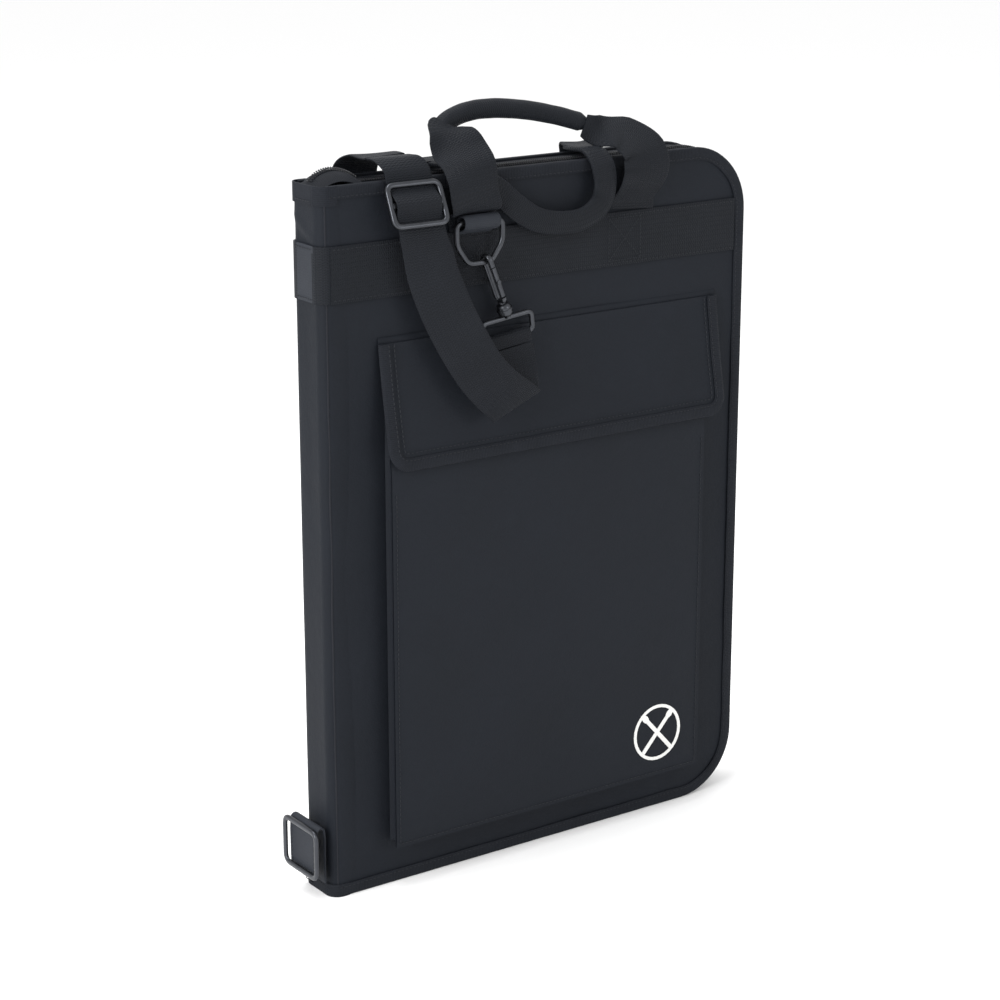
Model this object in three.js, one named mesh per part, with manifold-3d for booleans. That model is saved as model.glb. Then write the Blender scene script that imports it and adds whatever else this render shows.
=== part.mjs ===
// Book-type drum stick bag: two padded covers joined by a spine, closed by a coil zip round three sides.
// Units are millimetres. +X runs from the spine to the zip side, -Y is the front, +Z is up.
// The bag stands on the lower edge of its covers, and the origin is the bottom centre of its box.
import * as THREE from 'three';
import { mergeVertices } from 'three/addons/utils/BufferGeometryUtils.js';
import Module from 'manifold-3d';

const wasm = await Module();
wasm.setup();

// ---- driving dimensions -------------------------------------------------------------------
const HEIGHT = 500;          // closed bag, floor to top binding
const WIDTH = 360;           // spine face to zip side
const DEPTH = 40;            // rear face to front face
const CORNER = 48;           // radius of the two corners on the zip side
const WEB = 38;              // webbing of the band and the handles
const STRAP = 36;            // webbing of the shoulder strap
const WEB_T = 1.6;           // webbing thickness
const CLEAR = 0.4;           // air left between pieces that touch
const FABRIC = 1.2;          // outer shell fabric
const BOARD = 3;             // stiffening board
const LINING = 1;            // lining fabric
const BINDING = 9;           // visible width of the edge binding
const BINDING_T = 2.8;       // how far the bound seam stands out of the gusset
const BINDING_SIDE = 4;      // width of the binding on the gusset
const FACE_INSET = 1;        // shell face behind the binding's face
const SPINE_STACK = 5.6;     // shell, board and lining of the spine, with the fold's clearance
const BAND_MID = 441.5;      // height of the middle of the webbing band
const ZIP_GAP = 0.7;         // half the gap between the two coil halves
const COIL = 2.2;            // section of one coil half
const TAPE = 0.7;            // zip tape thickness
const ZIP_OPENING = 5;       // half the gusset's opening for the zip
const POCKET_PROUD = 13;     // front pocket panel in front of the cover's face
const FLAP_PROUD = 16.6;     // lower part of the flap in front of the cover's face
const HOOK_LEAN = 22;        // degrees that the snap hook leans towards the zip side
const SLIDER_TILT = -24;     // degrees that the strap slider's top leans back

const LEFT = -WIDTH / 2;
const RIGHT = WIDTH / 2;
const BACK = DEPTH / 2;
const FACE = BACK - FACE_INSET;
const COVER_LEFT = LEFT + SPINE_STACK;
const SHELL_INSET = BINDING_T + CLEAR;
const BAND_LOW = BAND_MID - WEB / 2;
const BAND_HIGH = BAND_MID + WEB / 2;
const ON_FACE = FACE + CLEAR;              // first free distance in front of a cover's face

// ---- materials ----------------------------------------------------------------------------
function finish(color, roughness) {
  return new THREE.MeshStandardMaterial({ color, roughness });
}
const CANVAS = finish(0x23262d, 0.8);
const EDGING = finish(0x1b1d22, 0.85);
const WEBBING = finish(0x202329, 0.7);
const LINER = finish(0x2c3038, 0.9);
const PADDING = finish(0x4a4c50, 0.95);
const HARDWARE = finish(0x2b2e34, 0.4);
const ZIP = finish(0x15161a, 0.5);
const PRINT = finish(0xe6e6e4, 0.8);
const MESH = finish(0x17181b, 0.9);
const FASTENER = finish(0x131417, 0.95);

// ---- geometry helpers ---------------------------------------------------------------------
const radians = THREE.MathUtils.degToRad;

function toSolid(geometry) {
  const bare = geometry.clone();
  bare.deleteAttribute('normal');
  bare.deleteAttribute('uv');
  const merged = mergeVertices(bare, 1e-3);
  const vertProperties = new Float32Array(merged.attributes.position.array);
  const triVerts = new Uint32Array(merged.index.array);
  return new wasm.Manifold(new wasm.Mesh({ numProp: 3, vertProperties, triVerts }));
}

function fromSolid(solid) {
  const mesh = solid.getMesh();
  const geometry = new THREE.BufferGeometry();
  geometry.setAttribute('position', new THREE.BufferAttribute(mesh.vertProperties, 3));
  geometry.setIndex(new THREE.BufferAttribute(mesh.triVerts, 1));
  return geometry;
}

const join = (...parts) => fromSolid(
  parts.map(toSolid).reduce((sum, part) => sum.add(part)),
);
const cut = (body, ...tools) => fromSolid(
  tools.map(toSolid).reduce((rest, tool) => rest.subtract(tool), toSolid(body)),
);
const overlap = (a, b) => fromSolid(toSolid(a).intersect(toSolid(b)));

// Box from its lowest to its highest corner.
function block(x0, x1, y0, y1, z0, z1) {
  const geometry = new THREE.BoxGeometry(x1 - x0, y1 - y0, z1 - z0);
  return geometry.translate((x0 + x1) / 2, (y0 + y1) / 2, (z0 + z1) / 2);
}

// Rectangle in the XZ plane with a radius on each corner: lower left, lower right, upper right, upper left.
function outline(x0, x1, z0, z1, radii = [0, 0, 0, 0]) {
  const shape = new THREE.Shape();
  const corners = [[x0, z0, 1, 1], [x1, z0, -1, 1], [x1, z1, -1, -1], [x0, z1, 1, -1]];
  corners.forEach(([x, z, towardsX, towardsZ], i) => {
    const r = radii[i];
    const start = Math.PI + (i * Math.PI) / 2;
    const centreX = x + towardsX * r;
    const centreZ = z + towardsZ * r;
    const first = [centreX + r * Math.cos(start), centreZ + r * Math.sin(start)];
    if (i === 0) shape.moveTo(...first);
    else shape.lineTo(...first);
    if (r > 0) shape.absarc(centreX, centreZ, r, start, start + Math.PI / 2, false);
  });
  shape.closePath();
  return shape;
}

// Outline drawn in X and Z, extruded from y0 to y1.
function plate(shape, y0, y1, curveSegments = 6) {
  const geometry = new THREE.ExtrudeGeometry(shape, { depth: y1 - y0, bevelEnabled: false, curveSegments });
  return geometry.rotateX(Math.PI / 2).translate(0, y1, 0);
}

// Tube of round section along a smooth open curve.
function tube(points, radius, steps, curveSegments = 6) {
  const extrudePath = new THREE.CatmullRomCurve3(points.map((p) => new THREE.Vector3(...p)));
  const section = new THREE.Shape().absarc(0, 0, radius, 0, 2 * Math.PI, false);
  return new THREE.ExtrudeGeometry(section, { steps, extrudePath, curveSegments });
}

// Flat strip through stations [x, y, z, width, turn, tip]. Its width lies along +X,
// turned about Z by turn and lifted towards +Z by tip, both in degrees.
function ribbon(stations, thickness, steps) {
  const centre = new THREE.CatmullRomCurve3(stations.map((s) => new THREE.Vector3(s[0], s[1], s[2])));
  const shape = new THREE.CatmullRomCurve3(stations.map((s) => new THREE.Vector3(s[3], s[4], s[5])));
  const corners = [];
  for (let i = 0; i <= steps; i += 1) {
    const point = centre.getPoint(i / steps);
    const ahead = centre.getTangent(i / steps);
    const { x: width, y: turn, z: tip } = shape.getPoint(i / steps);
    const across = new THREE.Vector3(Math.cos(radians(turn)), Math.sin(radians(turn)), 0);
    across.multiplyScalar(Math.cos(radians(tip))).setZ(Math.sin(radians(tip)));
    across.addScaledVector(ahead, -across.dot(ahead)).normalize();
    const out = new THREE.Vector3().crossVectors(ahead, across).normalize();
    for (const [a, b] of [[-1, -1], [1, -1], [1, 1], [-1, 1]]) {
      const corner = point.clone().addScaledVector(across, (a * width) / 2);
      corners.push(...corner.addScaledVector(out, (b * thickness) / 2).toArray());
    }
  }
  const index = [0, 2, 1, 0, 3, 2];
  for (let i = 0; i < steps; i += 1) {
    for (let side = 0; side < 4; side += 1) {
      const a = 4 * i + side;
      const b = 4 * i + ((side + 1) % 4);
      index.push(a, b, a + 4, b, b + 4, a + 4);
    }
  }
  const last = 4 * steps;
  index.push(last, last + 1, last + 2, last, last + 2, last + 3);
  const geometry = new THREE.BufferGeometry();
  geometry.setAttribute('position', new THREE.BufferAttribute(new Float32Array(corners), 3));
  geometry.setIndex(index);
  return geometry;
}

const bag = new THREE.Group();

function add(name, geometry, material, place = bag) {
  const mesh = new THREE.Mesh(geometry, material);
  mesh.name = name;
  place.add(mesh);
}

// ---- the two covers -----------------------------------------------------------------------
// The cover's outline, drawn in by a margin. Its spine side is straight, with square corners.
function coverShape(margin, left = COVER_LEFT) {
  const r = CORNER - margin;
  return outline(left, RIGHT - margin, margin, HEIGHT - margin, [0, r, r, 0]);
}

// Plate between two distances from the middle plane, on the rear side (1) or the front side (-1).
function sidePlate(shape, side, near, far) {
  return side > 0 ? plate(shape, near, far) : plate(shape, -far, -near);
}

function makeCover(name, side) {
  const open = COVER_LEFT - 5;
  const wall = SHELL_INSET + FABRIC;
  add(`${name}_shell`, cut(
    sidePlate(coverShape(SHELL_INSET), side, ZIP_OPENING, FACE),
    sidePlate(coverShape(wall, open), side, 0, FACE - FABRIC),
  ), CANVAS);

  const boardFace = FACE - FABRIC - CLEAR;
  const edge = wall + CLEAR;
  add(`${name}_board`, sidePlate(coverShape(edge), side, boardFace - BOARD, boardFace), PADDING);

  const liningFace = boardFace - BOARD - CLEAR;
  add(`${name}_lining`, cut(
    sidePlate(coverShape(edge), side, ZIP_OPENING + CLEAR, liningFace),
    sidePlate(coverShape(edge + LINING, open), side, 0, liningFace - LINING),
  ), LINER);

  // The bound seam: a strip on the face and a rib round the gusset.
  const onFace = cut(
    sidePlate(coverShape(0), side, ON_FACE, BACK),
    sidePlate(coverShape(BINDING, open), side, 0, DEPTH),
  );
  const onSide = cut(
    sidePlate(coverShape(0), side, BACK - BINDING_SIDE, BACK),
    sidePlate(coverShape(BINDING_T, open), side, 0, DEPTH),
  );
  add(`${name}_binding`, join(onFace, onSide), EDGING);

  // Half of the zip: the coil next to the middle plane, and its tape over the gusset.
  const coilTop = CLEAR;
  const coilFoot = coilTop + COIL;
  const start = COVER_LEFT + 12;
  const coil = cut(
    sidePlate(coverShape(coilTop, start), side, ZIP_GAP, ZIP_GAP + COIL),
    sidePlate(coverShape(coilFoot, open), side, 0, DEPTH),
  );
  const tapeTop = BINDING_T - TAPE - 0.1;
  const tape = cut(
    sidePlate(coverShape(tapeTop, start), side, ZIP_GAP + COIL - 0.4, BACK - BINDING_SIDE - CLEAR),
    sidePlate(coverShape(tapeTop + TAPE, open), side, 0, DEPTH),
  );
  add(`${name}_zip_half`, join(coil, tape), ZIP);

  // Webbing band, sewn across the face.
  const bandRight = RIGHT - BINDING - 1;
  add(`${name}_band`, sidePlate(
    outline(COVER_LEFT + 1, bandRight, BAND_LOW, BAND_HIGH), side, ON_FACE, ON_FACE + WEB_T,
  ), WEBBING);
}

makeCover('rear', 1);
makeCover('front', -1);

// ---- inside: stick sleeves on the rear cover, mesh pocket on the front cover ----------------
// A sewn pocket with open-topped channels side by side.
function sleeve(name, x0, x1, y0, y1, z0, z1, channels, material) {
  const seam = 3;
  const pitch = (x1 - x0 - seam) / channels;
  const hollows = [];
  for (let i = 0; i < channels; i += 1) {
    const left = x0 + seam + i * pitch;
    hollows.push(block(left, left + pitch - seam, y0 + LINING, y1 - LINING, z0 + LINING, z1 + 5));
  }
  add(name, cut(block(x0, x1, y0, y1, z0, z1), ...hollows), material);
}
const SLEEVE = 6.2;                        // thickness of an inner pocket lying flat
const INSIDE = FACE - FABRIC - BOARD - LINING - 2 * CLEAR - CLEAR;   // clear of the lining's inner face
sleeve('stick_sleeve_tall', -160, 150, INSIDE - SLEEVE, INSIDE, 14, 330, 4, LINER);
const SECOND = INSIDE - SLEEVE - CLEAR;
sleeve('stick_sleeve_short', -160, 150, SECOND - SLEEVE, SECOND, 14, 205, 3, LINER);
sleeve('inner_mesh_pocket', -150, 150, -INSIDE, -INSIDE + SLEEVE, 20, 245, 1, MESH);

// ---- spine --------------------------------------------------------------------------------
const SPINE_HALF = BACK - 0.5;
const acrossSpine = [-SPINE_HALF, SPINE_HALF];
add('spine_shell', block(LEFT, LEFT + FABRIC, ...acrossSpine, SHELL_INSET + CLEAR, HEIGHT - 0.5), CANVAS);
const spineBoardX = LEFT + FABRIC + CLEAR;
const spineLiningX = spineBoardX + 1.8 + CLEAR;
add('spine_board', block(spineBoardX, spineBoardX + 1.8, -18, 18, 6, HEIGHT - 6), PADDING);
add('spine_lining', block(spineLiningX, spineLiningX + LINING, ...acrossSpine, 4, HEIGHT - 2), LINER);
add('spine_band', block(LEFT - CLEAR - WEB_T, LEFT - CLEAR, ...acrossSpine, BAND_LOW, BAND_HIGH), WEBBING);

// The closed ends of the zip are sewn to the spine: a hump over its top, and a run round its foot.
const CHAIN = 2 * (ZIP_GAP + COIL);
const acrossY = (points) => points.map((p) => [...p, CHAIN, 90, 0]);
add('zip_end_top', ribbon(acrossY([
  [LEFT + 3, 0, HEIGHT + 1.6], [LEFT + 9, 0, HEIGHT + 7], [LEFT + 20, 0, HEIGHT + 9.5],
  [LEFT + 31, 0, HEIGHT + 7], [LEFT + 40, 0, HEIGHT + 1.8],
]), 2, 12), ZIP);
add('zip_end_bottom', ribbon(acrossY([
  [LEFT - 1.6, 13, 36], [LEFT - 1.6, 12.4, 12], [LEFT - 1.7, 12, 4.6],
  [LEFT + 0.6, 10, 1.7], [LEFT + 15, 3, 1.6],
]), 1.9, 20), ZIP);

// Folded web loop at the foot of the spine, and the frame that the shoulder strap's lower end hangs from.
const ANCHOR_MID_Y = 1.5;
const LOOP_IN = LEFT - 3.6;
const LOOP_OUT = LOOP_IN - 8;
const loopY = [ANCHOR_MID_Y - STRAP / 2, ANCHOR_MID_Y + STRAP / 2];
add('anchor_loop', join(
  block(LOOP_IN - WEB_T, LOOP_IN, ...loopY, 12, 54),
  block(LOOP_OUT, LOOP_OUT + WEB_T, ...loopY, 16, 54),
  block(LOOP_OUT, LOOP_IN, ...loopY, 53, 54.6),
), WEBBING);
const frameHole = outline(-19, 19, -14, 14, [3, 3, 3, 3]);
const anchorOutline = outline(-23, 23, -19, 19, [6, 6, 6, 6]);
anchorOutline.holes.push(frameHole);
const anchorFrame = plate(anchorOutline, -1.5, 1.5, 4).rotateZ(Math.PI / 2);
add('anchor_frame', anchorFrame.translate(LOOP_OUT - CLEAR - 1.5, ANCHOR_MID_Y, 35), HARDWARE);

// ---- front pocket and its flap --------------------------------------------------------------
const POCKET_LEFT = -135;
const POCKET_RIGHT = 137;
const POCKET_LOW = 31;
const POCKET_MOUTH = 350;
const POCKET_Y = -(FACE + POCKET_PROUD);
const FLAP_LEFT = -138;
const FLAP_RIGHT = 154;
const FLAP_LOW = 305;
const FLAP_TOP = 391;
const flapSkin = 1.4;

// Upright sheet across the bag: its side view is a line of [y, z] points, thickened from near to far.
function sheet(line, near, far) {
  const shape = new THREE.Shape();
  line.forEach(([y, z], i) => (i === 0 ? shape.moveTo(y + near, z) : shape.lineTo(y + near, z)));
  [...line].reverse().forEach(([y, z]) => shape.lineTo(y + far, z));
  shape.closePath();
  const geometry = new THREE.ExtrudeGeometry(shape, { depth: WIDTH, bevelEnabled: false });
  return geometry.rotateX(Math.PI / 2).rotateZ(Math.PI / 2).translate(LEFT, 0, 0);
}

// The pocket's front is flat and lies back towards its mouth. The flap slants out over it from its seam.
const pocketLine = [
 [POCKET_Y, POCKET_LOW - 10], [POCKET_Y, 300], [POCKET_Y + 7.4, 350], [POCKET_Y + 7.4, 370],
];
const flapLine = [
  [-(FACE + FLAP_PROUD) - 1.8, FLAP_LOW - 10], [-(FACE + 2.2), FLAP_TOP - 6], [-(FACE + 2.2), FLAP_TOP],
];
const pocketRadii = [3, 9, 0, 0];
const pocketOutline = (inset, top) => plate(
  outline(POCKET_LEFT + inset, POCKET_RIGHT - inset, POCKET_LOW + inset, top, pocketRadii), -60, -ON_FACE,
);
add('pocket_panel', overlap(sheet(pocketLine, 0, FABRIC), pocketOutline(0, POCKET_MOUTH)), CANVAS);
const bellowsIn = 3;
add('pocket_bellows', cut(
  overlap(sheet(pocketLine, FABRIC + CLEAR, 40), pocketOutline(bellowsIn, POCKET_MOUTH - 4)),
  pocketOutline(bellowsIn + FABRIC, POCKET_MOUTH + 5).translate(0, 5, 0),
  pocketOutline(bellowsIn + FABRIC, POCKET_MOUTH + 5),
), CANVAS);
const hemSides = block(POCKET_LEFT + 8, POCKET_RIGHT - 8, -60, 0, POCKET_MOUTH - 10, POCKET_MOUTH + 1.2);
add('pocket_hem', cut(
  overlap(sheet(pocketLine, -0.9, FABRIC + 0.9), hemSides),
  overlap(sheet(pocketLine, -CLEAR, FABRIC + CLEAR), pocketOutline(0, POCKET_MOUTH + CLEAR)),
), EDGING);

const patchArea = block(-60, 60, -60, 0, 314, 336);
add('pocket_loop_patch', overlap(sheet(pocketLine, -1, -CLEAR), patchArea), FASTENER);

const flapOutline = (margin) => plate(outline(
  FLAP_LEFT + margin, FLAP_RIGHT - margin, FLAP_LOW + margin, FLAP_TOP, [16 - margin, 14 - margin, 0, 0],
), -60, 0);
const flapSheet = (thickness) => sheet(flapLine, -thickness / 2, thickness / 2);
add('flap_panel', overlap(flapSheet(flapSkin), flapOutline(1)), CANVAS);
const flapChannel = cut(overlap(flapSheet(flapSkin + 2.4), flapOutline(0)), flapOutline(BINDING));
add('flap_binding', cut(
  flapChannel, overlap(flapSheet(flapSkin + 2 * CLEAR), flapOutline(1 - CLEAR)),
), EDGING);
const patchGap = flapSkin / 2 + CLEAR;
add('flap_hook_patch', overlap(sheet(flapLine, patchGap, patchGap + 0.8), patchArea), FASTENER);
const seamY = [-ON_FACE - 0.8, -ON_FACE];
add('flap_seam_tape', block(FLAP_LEFT, FLAP_RIGHT, ...seamY, FLAP_TOP + 1, FLAP_TOP + 9), EDGING);

// Printed mark low on the pocket: two crossed sticks in a plain ring.
const MARK = [97, 66];
const markSize = 22;
const ringShape = new THREE.Shape().absarc(0, 0, markSize, 0, 2 * Math.PI, false);
ringShape.holes.push(new THREE.Path().absarc(0, 0, markSize - 2.4, 0, 2 * Math.PI, true));
const printDepth = [-0.25, 0.25];
const stick = (angle) => join(
  plate(outline(-1.6, 1.6, -markSize + 1, markSize - 6), ...printDepth).rotateY(radians(angle)),
  plate(new THREE.Shape().absellipse(0, markSize - 5, 2.6, 4, 0, 2 * Math.PI), ...printDepth, 5).rotateY(radians(angle)),
);
add('printed_mark', join(plate(ringShape, ...printDepth, 16), stick(42), stick(-42))
  .translate(MARK[0], POCKET_Y - CLEAR - 0.25, MARK[1]), PRINT);

// ---- handles --------------------------------------------------------------------------------
const GRIP = 6.6;
const legY = ON_FACE + WEB_T / 2;
const LEG_FOOT = BAND_HIGH + 1.4;
add('front_handle_leg_left', ribbon([
  [-61, -legY, LEG_FOOT, WEB, 0, 0], [-61.2, -legY - 0.3, 466, WEB, 0, 0], [-62.5, -22.2, 472, WEB, 0, 0],
  [-64.5, -30, 477.5, WEB, 0, 0], [-67.5, -32.5, 487, WEB, 0, 0], [-68.5, -32, 497, WEB, -4, 2],
  [-69.5, -28.5, 507, WEB, -14, 3], [-71.5, -19.5, 516, WEB, -28, -4], [-74.5, -12, 525, 32, -26, -14],
], WEB_T, 28), WEBBING);
add('front_handle_leg_right', ribbon([
  [75, -legY, LEG_FOOT, WEB, 0, 0], [75.4, -legY - 0.5, 468, WEB, 0, 0], [77.5, -29, 480, WEB, 0, 0],
  [79, -32, 492, WEB, -3, 0], [77.5, -29, 504.5, WEB - 2, -6, 4], [67, -19, 515, 30, -8, 10],
  [51, -10.5, 517.5, 22, -8, 22],
], WEB_T, 24), WEBBING);
add('front_handle_grip', tube([
  [-74, 0, 526.5], [-66, 2, 532.5], [-46, 3, 537.5], [-18, 2, 537], [12, 0, 532], [34, -3, 526],
  [46, -6, 522.5],
], GRIP, 20), WEBBING);

// The rear handle droops over the bag's top: it comes forward under the front handle's left leg,
// hangs in front of the band, and goes back over the top under the right leg.
add('rear_handle_leg_left', ribbon([
  [-77, legY, LEG_FOOT, WEB, 0, 0], [-77, legY + 0.8, 484, WEB, 0, 0], [-77, legY + 1.4, 499, WEB - 4, 0, 0],
  [-76, 18.5, 505, WEB - 8, 0, 0], [-74, 12, 505.6, WEB - 14, 0, 0],
], WEB_T, 12), WEBBING);
add('rear_handle_leg_right', ribbon([
  [62, legY, LEG_FOOT, WEB, 0, 0], [62, legY + 1.2, 482, WEB, 0, 0], [60, legY + 2, 498, WEB - 4, 0, 0],
  [57, 18.5, 505, WEB - 9, 0, 0], [52, 10, 505, WEB - 12, 0, 0],
], WEB_T, 12), WEBBING);
add('rear_handle_grip', ribbon([
  [-73.5, 9.5, 504.2, 20, 180, 0], [-71, -6, 504.2, 20, 180, 0], [-69, -18, 504.4, 20, 180, 0],
  [-66.5, -24, 500, 20, 180, -12], [-60, -25.4, 494, 20, 180, -40], [-44, -24.4, 487.3, 16.6, 180, -62],
  [-31, -25.8, 475.5, 18, 180, -68], [-13, -27.6, 463.8, 17, 180, -82], [10, -28.2, 459.6, 16, 180, -91],
  [29, -28, 461.5, 16, 180, -104], [42.5, -27.8, 470.5, 18, 180, -132], [46, -27.2, 484, 19, 180, -162],
  [44.5, -25.2, 497.5, 20, 180, -176], [43, -18.4, 504.8, 20, 180, -178], [44.5, -4, 504.8, 20, 180, -180],
  [49.5, 7.5, 504.2, 24, 180, -180],
], 4, 60), WEBBING);

// ---- D-ring, snap hook and strap slider on the front ------------------------------------------
const RING_Y = -28.6;
const RING_MID = -61;
const RING_TOP = 469;
const RING_THICK = 3.6;
function ringOutline(inset) {
  const shape = new THREE.Shape();
  const top = 20.5 - inset;
  const low = 10.5 - inset * 0.45;
  shape.moveTo(RING_MID - top, RING_TOP - inset);
  shape.lineTo(RING_MID - top, 452 + inset * 0.4);
  shape.lineTo(RING_MID - low, 437.5 + inset);
  shape.lineTo(RING_MID + low, 437.5 + inset);
  shape.lineTo(RING_MID + top, 452 + inset * 0.4);
  shape.lineTo(RING_MID + top, RING_TOP - inset);
  shape.closePath();
  return shape;
}
const ring = ringOutline(0);
ring.holes.push(ringOutline(RING_THICK));
add('front_dring', plate(ring, RING_Y - RING_THICK / 2, RING_Y + RING_THICK / 2), HARDWARE);

const BAR_Z = RING_TOP - RING_THICK / 2;
const tabHalf = 14.5;
const tabBack = -(ON_FACE + 2 * WEB_T + 2 * CLEAR);
const barBore = block(-20, 20, -3.1, 3.1, -3.1, 3.1).translate(RING_MID, RING_Y, BAR_Z);
add('front_dring_tab', cut(
  block(RING_MID - tabHalf, RING_MID + tabHalf, RING_Y - 4.7, tabBack, BAR_Z - 6.5, BAR_Z + 4.7), barBore,
), WEBBING);

// The hook hangs in a plane across the ring, on a group whose origin is the ring's lower bar.
const hook = new THREE.Group();
hook.position.set(RING_MID + 6.5, RING_Y, 437.5 + RING_THICK / 2);
hook.rotation.y = radians(-HOOK_LEAN);
bag.add(hook);
const HOOK_HALF = 5.6;          // half the hook's width across the ring's bar
const HOOK_WIRE = 3;
const HOOK_TOP = 6.4;
const HOOK_FOOT = -32;
const acrossX = (geometry) => geometry.rotateZ(Math.PI / 2);
const hookOutline = outline(-HOOK_HALF, HOOK_HALF, HOOK_FOOT, HOOK_TOP, [3, 3, 4, 4]);
hookOutline.holes.push(outline(
  -HOOK_HALF + HOOK_WIRE, HOOK_HALF - HOOK_WIRE, HOOK_FOOT + HOOK_WIRE + 0.5, HOOK_TOP - HOOK_WIRE, [1, 1, 1, 1],
));
const GATE_LOW = -26;
const GATE_HIGH = -4;
const gateGap = block(-4, 4, -8, -HOOK_HALF + HOOK_WIRE + 0.2, GATE_LOW - CLEAR, GATE_HIGH + CLEAR);
add('hook_body', cut(acrossX(plate(hookOutline, -2, 2)), gateGap), HARDWARE, hook);
add('hook_gate', block(-1.8, 1.8, -HOOK_HALF, -HOOK_HALF + HOOK_WIRE - 0.4, GATE_LOW, GATE_HIGH), HARDWARE, hook);
const barrel = [[0, -41.6], [3.2, -41.6], [5, -40], [5, -34.4], [4, -32.4], [0, -32.4]];
const EYE_SKEW = 15;            // degrees that the strap pulls the eye out of the hook's line
const eyeOutline = outline(-22.5, 22.5, -17.5, -0.5, [3, 3, 3, 3]);
eyeOutline.holes.push(outline(-19, 19, -14.1, -3.9, [1, 1, 1, 1]));
add('hook_swivel_eye', join(
  new THREE.LatheGeometry(barrel.map(([r, z]) => new THREE.Vector2(r, z)), 12).rotateX(Math.PI / 2),
  plate(eyeOutline, -1.7, 1.7, 3).rotateY(radians(EYE_SKEW)).translate(0, 0, -41),
  block(-4, 4, -1.7, 1.7, -44.5, -41),
), HARDWARE, hook);

const slider = new THREE.Group();
slider.position.set(-113, -31.8, 484.5);
slider.rotation.x = radians(SLIDER_TILT);
bag.add(slider);
const sliderOutline = outline(-22.4, 22.4, -16, 16, [5, 5, 5, 5]);
const slots = [[2.2, 12.2], [-12.2, -2.2]];
sliderOutline.holes.push(...slots.map(([z0, z1]) => outline(-18.6, 18.6, z0, z1, [2, 2, 2, 2])));
add('strap_slider', plate(sliderOutline, -1.7, 1.7, 4), HARDWARE, slider);

// ---- shoulder strap ---------------------------------------------------------------------------
// Front length: from the top of the bag, behind the slider, down to its bight and up to the hook's eye.
add('shoulder_strap_front', ribbon([
  [-119, -4, 513, STRAP, -6, 0], [-117, -14, 512.5, STRAP, -4, 0], [-114.5, -20.8, 507, STRAP, 0, 0],
  [-113, -22.6, 499, STRAP, 0, 0], [-112, -28.6, 482, STRAP, 0, 0], [-111, -33.8, 470, STRAP, 0, 0],
  [-109.6, -34.9, 461, STRAP, -3, 1], [-107, -35.4, 452, STRAP, -10, 3],
  [-104, -36, 438, STRAP, -14, 9], [-94, -38.5, 411, STRAP, -18, 26],
  [-83, -42, 388, STRAP, -18, 28], [-67.5, -45, 366, STRAP, -18, 34], [-53, -48, 350, STRAP, -18, 35],
  [-45, -48.3, 345.5, STRAP, -14, 34], [-40, -44.6, 345, STRAP, -8, 28], [-37.5, -41.8, 350.5, STRAP, -4, 18],
  [-36.8, -39.5, 359, STRAP, 0, 10], [-37.3, -34.6, 371, STRAP, 0, 7], [-37.8, -32.5, 378.5, STRAP, 0, 7],
], WEB_T, 64), WEBBING);
// Rear length: down behind the rear cover to its sewn end near the foot of the spine.
add('shoulder_strap_rear', ribbon([
  [-119.3, -3, 513, STRAP, -6, 0], [-122, 12, 512.5, STRAP, -6, 0], [-125, 23.6, 505, STRAP, 0, 0],
  [-127, 25.5, 480, STRAP, 0, 0], [-128, 26, 430, STRAP, 0, 0], [-128, 27, 320, STRAP, 0, 0],
  [-129, 26.5, 200, STRAP, 0, 0], [-131, 24, 110, STRAP, 0, 0], [-132, 21.4, 70, STRAP, 0, 0],
  [-132, 20.9, 34, STRAP, 0, 0],
], WEB_T, 44), WEBBING);

// ---- zip sliders, meeting half way up the zip side ----------------------------------------------
function zipSlider(name, z) {
  const outer = RIGHT;
  const inner = RIGHT - BINDING_T - 0.6;
  const half = 4.4;
  add(`zip_slider_${name}`, join(
    block(outer, outer + 1.6, -half, half, z - 7, z + 7),
    block(inner - 1.2, inner, -half, half, z - 7, z + 7),
    block(inner - 0.6, outer + 0.8, -0.3, 0.3, z - 6, z + 6),
    block(outer - 1, outer + 0.8, ZIP_GAP + COIL + CLEAR, half, z - 7, z + 7),
    block(outer + 1, outer + 3.6, -1.4, 1.4, z, z + 5),
  ), HARDWARE);
  add(`zip_pull_${name}`, block(outer + 2, outer + 3.6, -4, 4, z - 22, z - CLEAR), HARDWARE);
}
zipSlider('upper', 263);
zipSlider('lower', 233);

// ---- origin: the bottom centre of the whole bag's box -----------------------------------------
const model = new THREE.Group();
model.add(bag);
const box = new THREE.Box3().setFromObject(model, true);
bag.position.set(-(box.min.x + box.max.x) / 2, -(box.min.y + box.max.y) / 2, -box.min.z);

export default model;
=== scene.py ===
"""Looks of a book-type drum stick bag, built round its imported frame.

Shapes are drawn in millimetres in the bag's own frame: x runs from the spine face (-180) to the zip side
(180), y from the front face (-20) to the rear face (20), and z is the height above the floor.
"""
import math

import bmesh
import bpy
from mathutils import Matrix, Vector, noise


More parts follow.
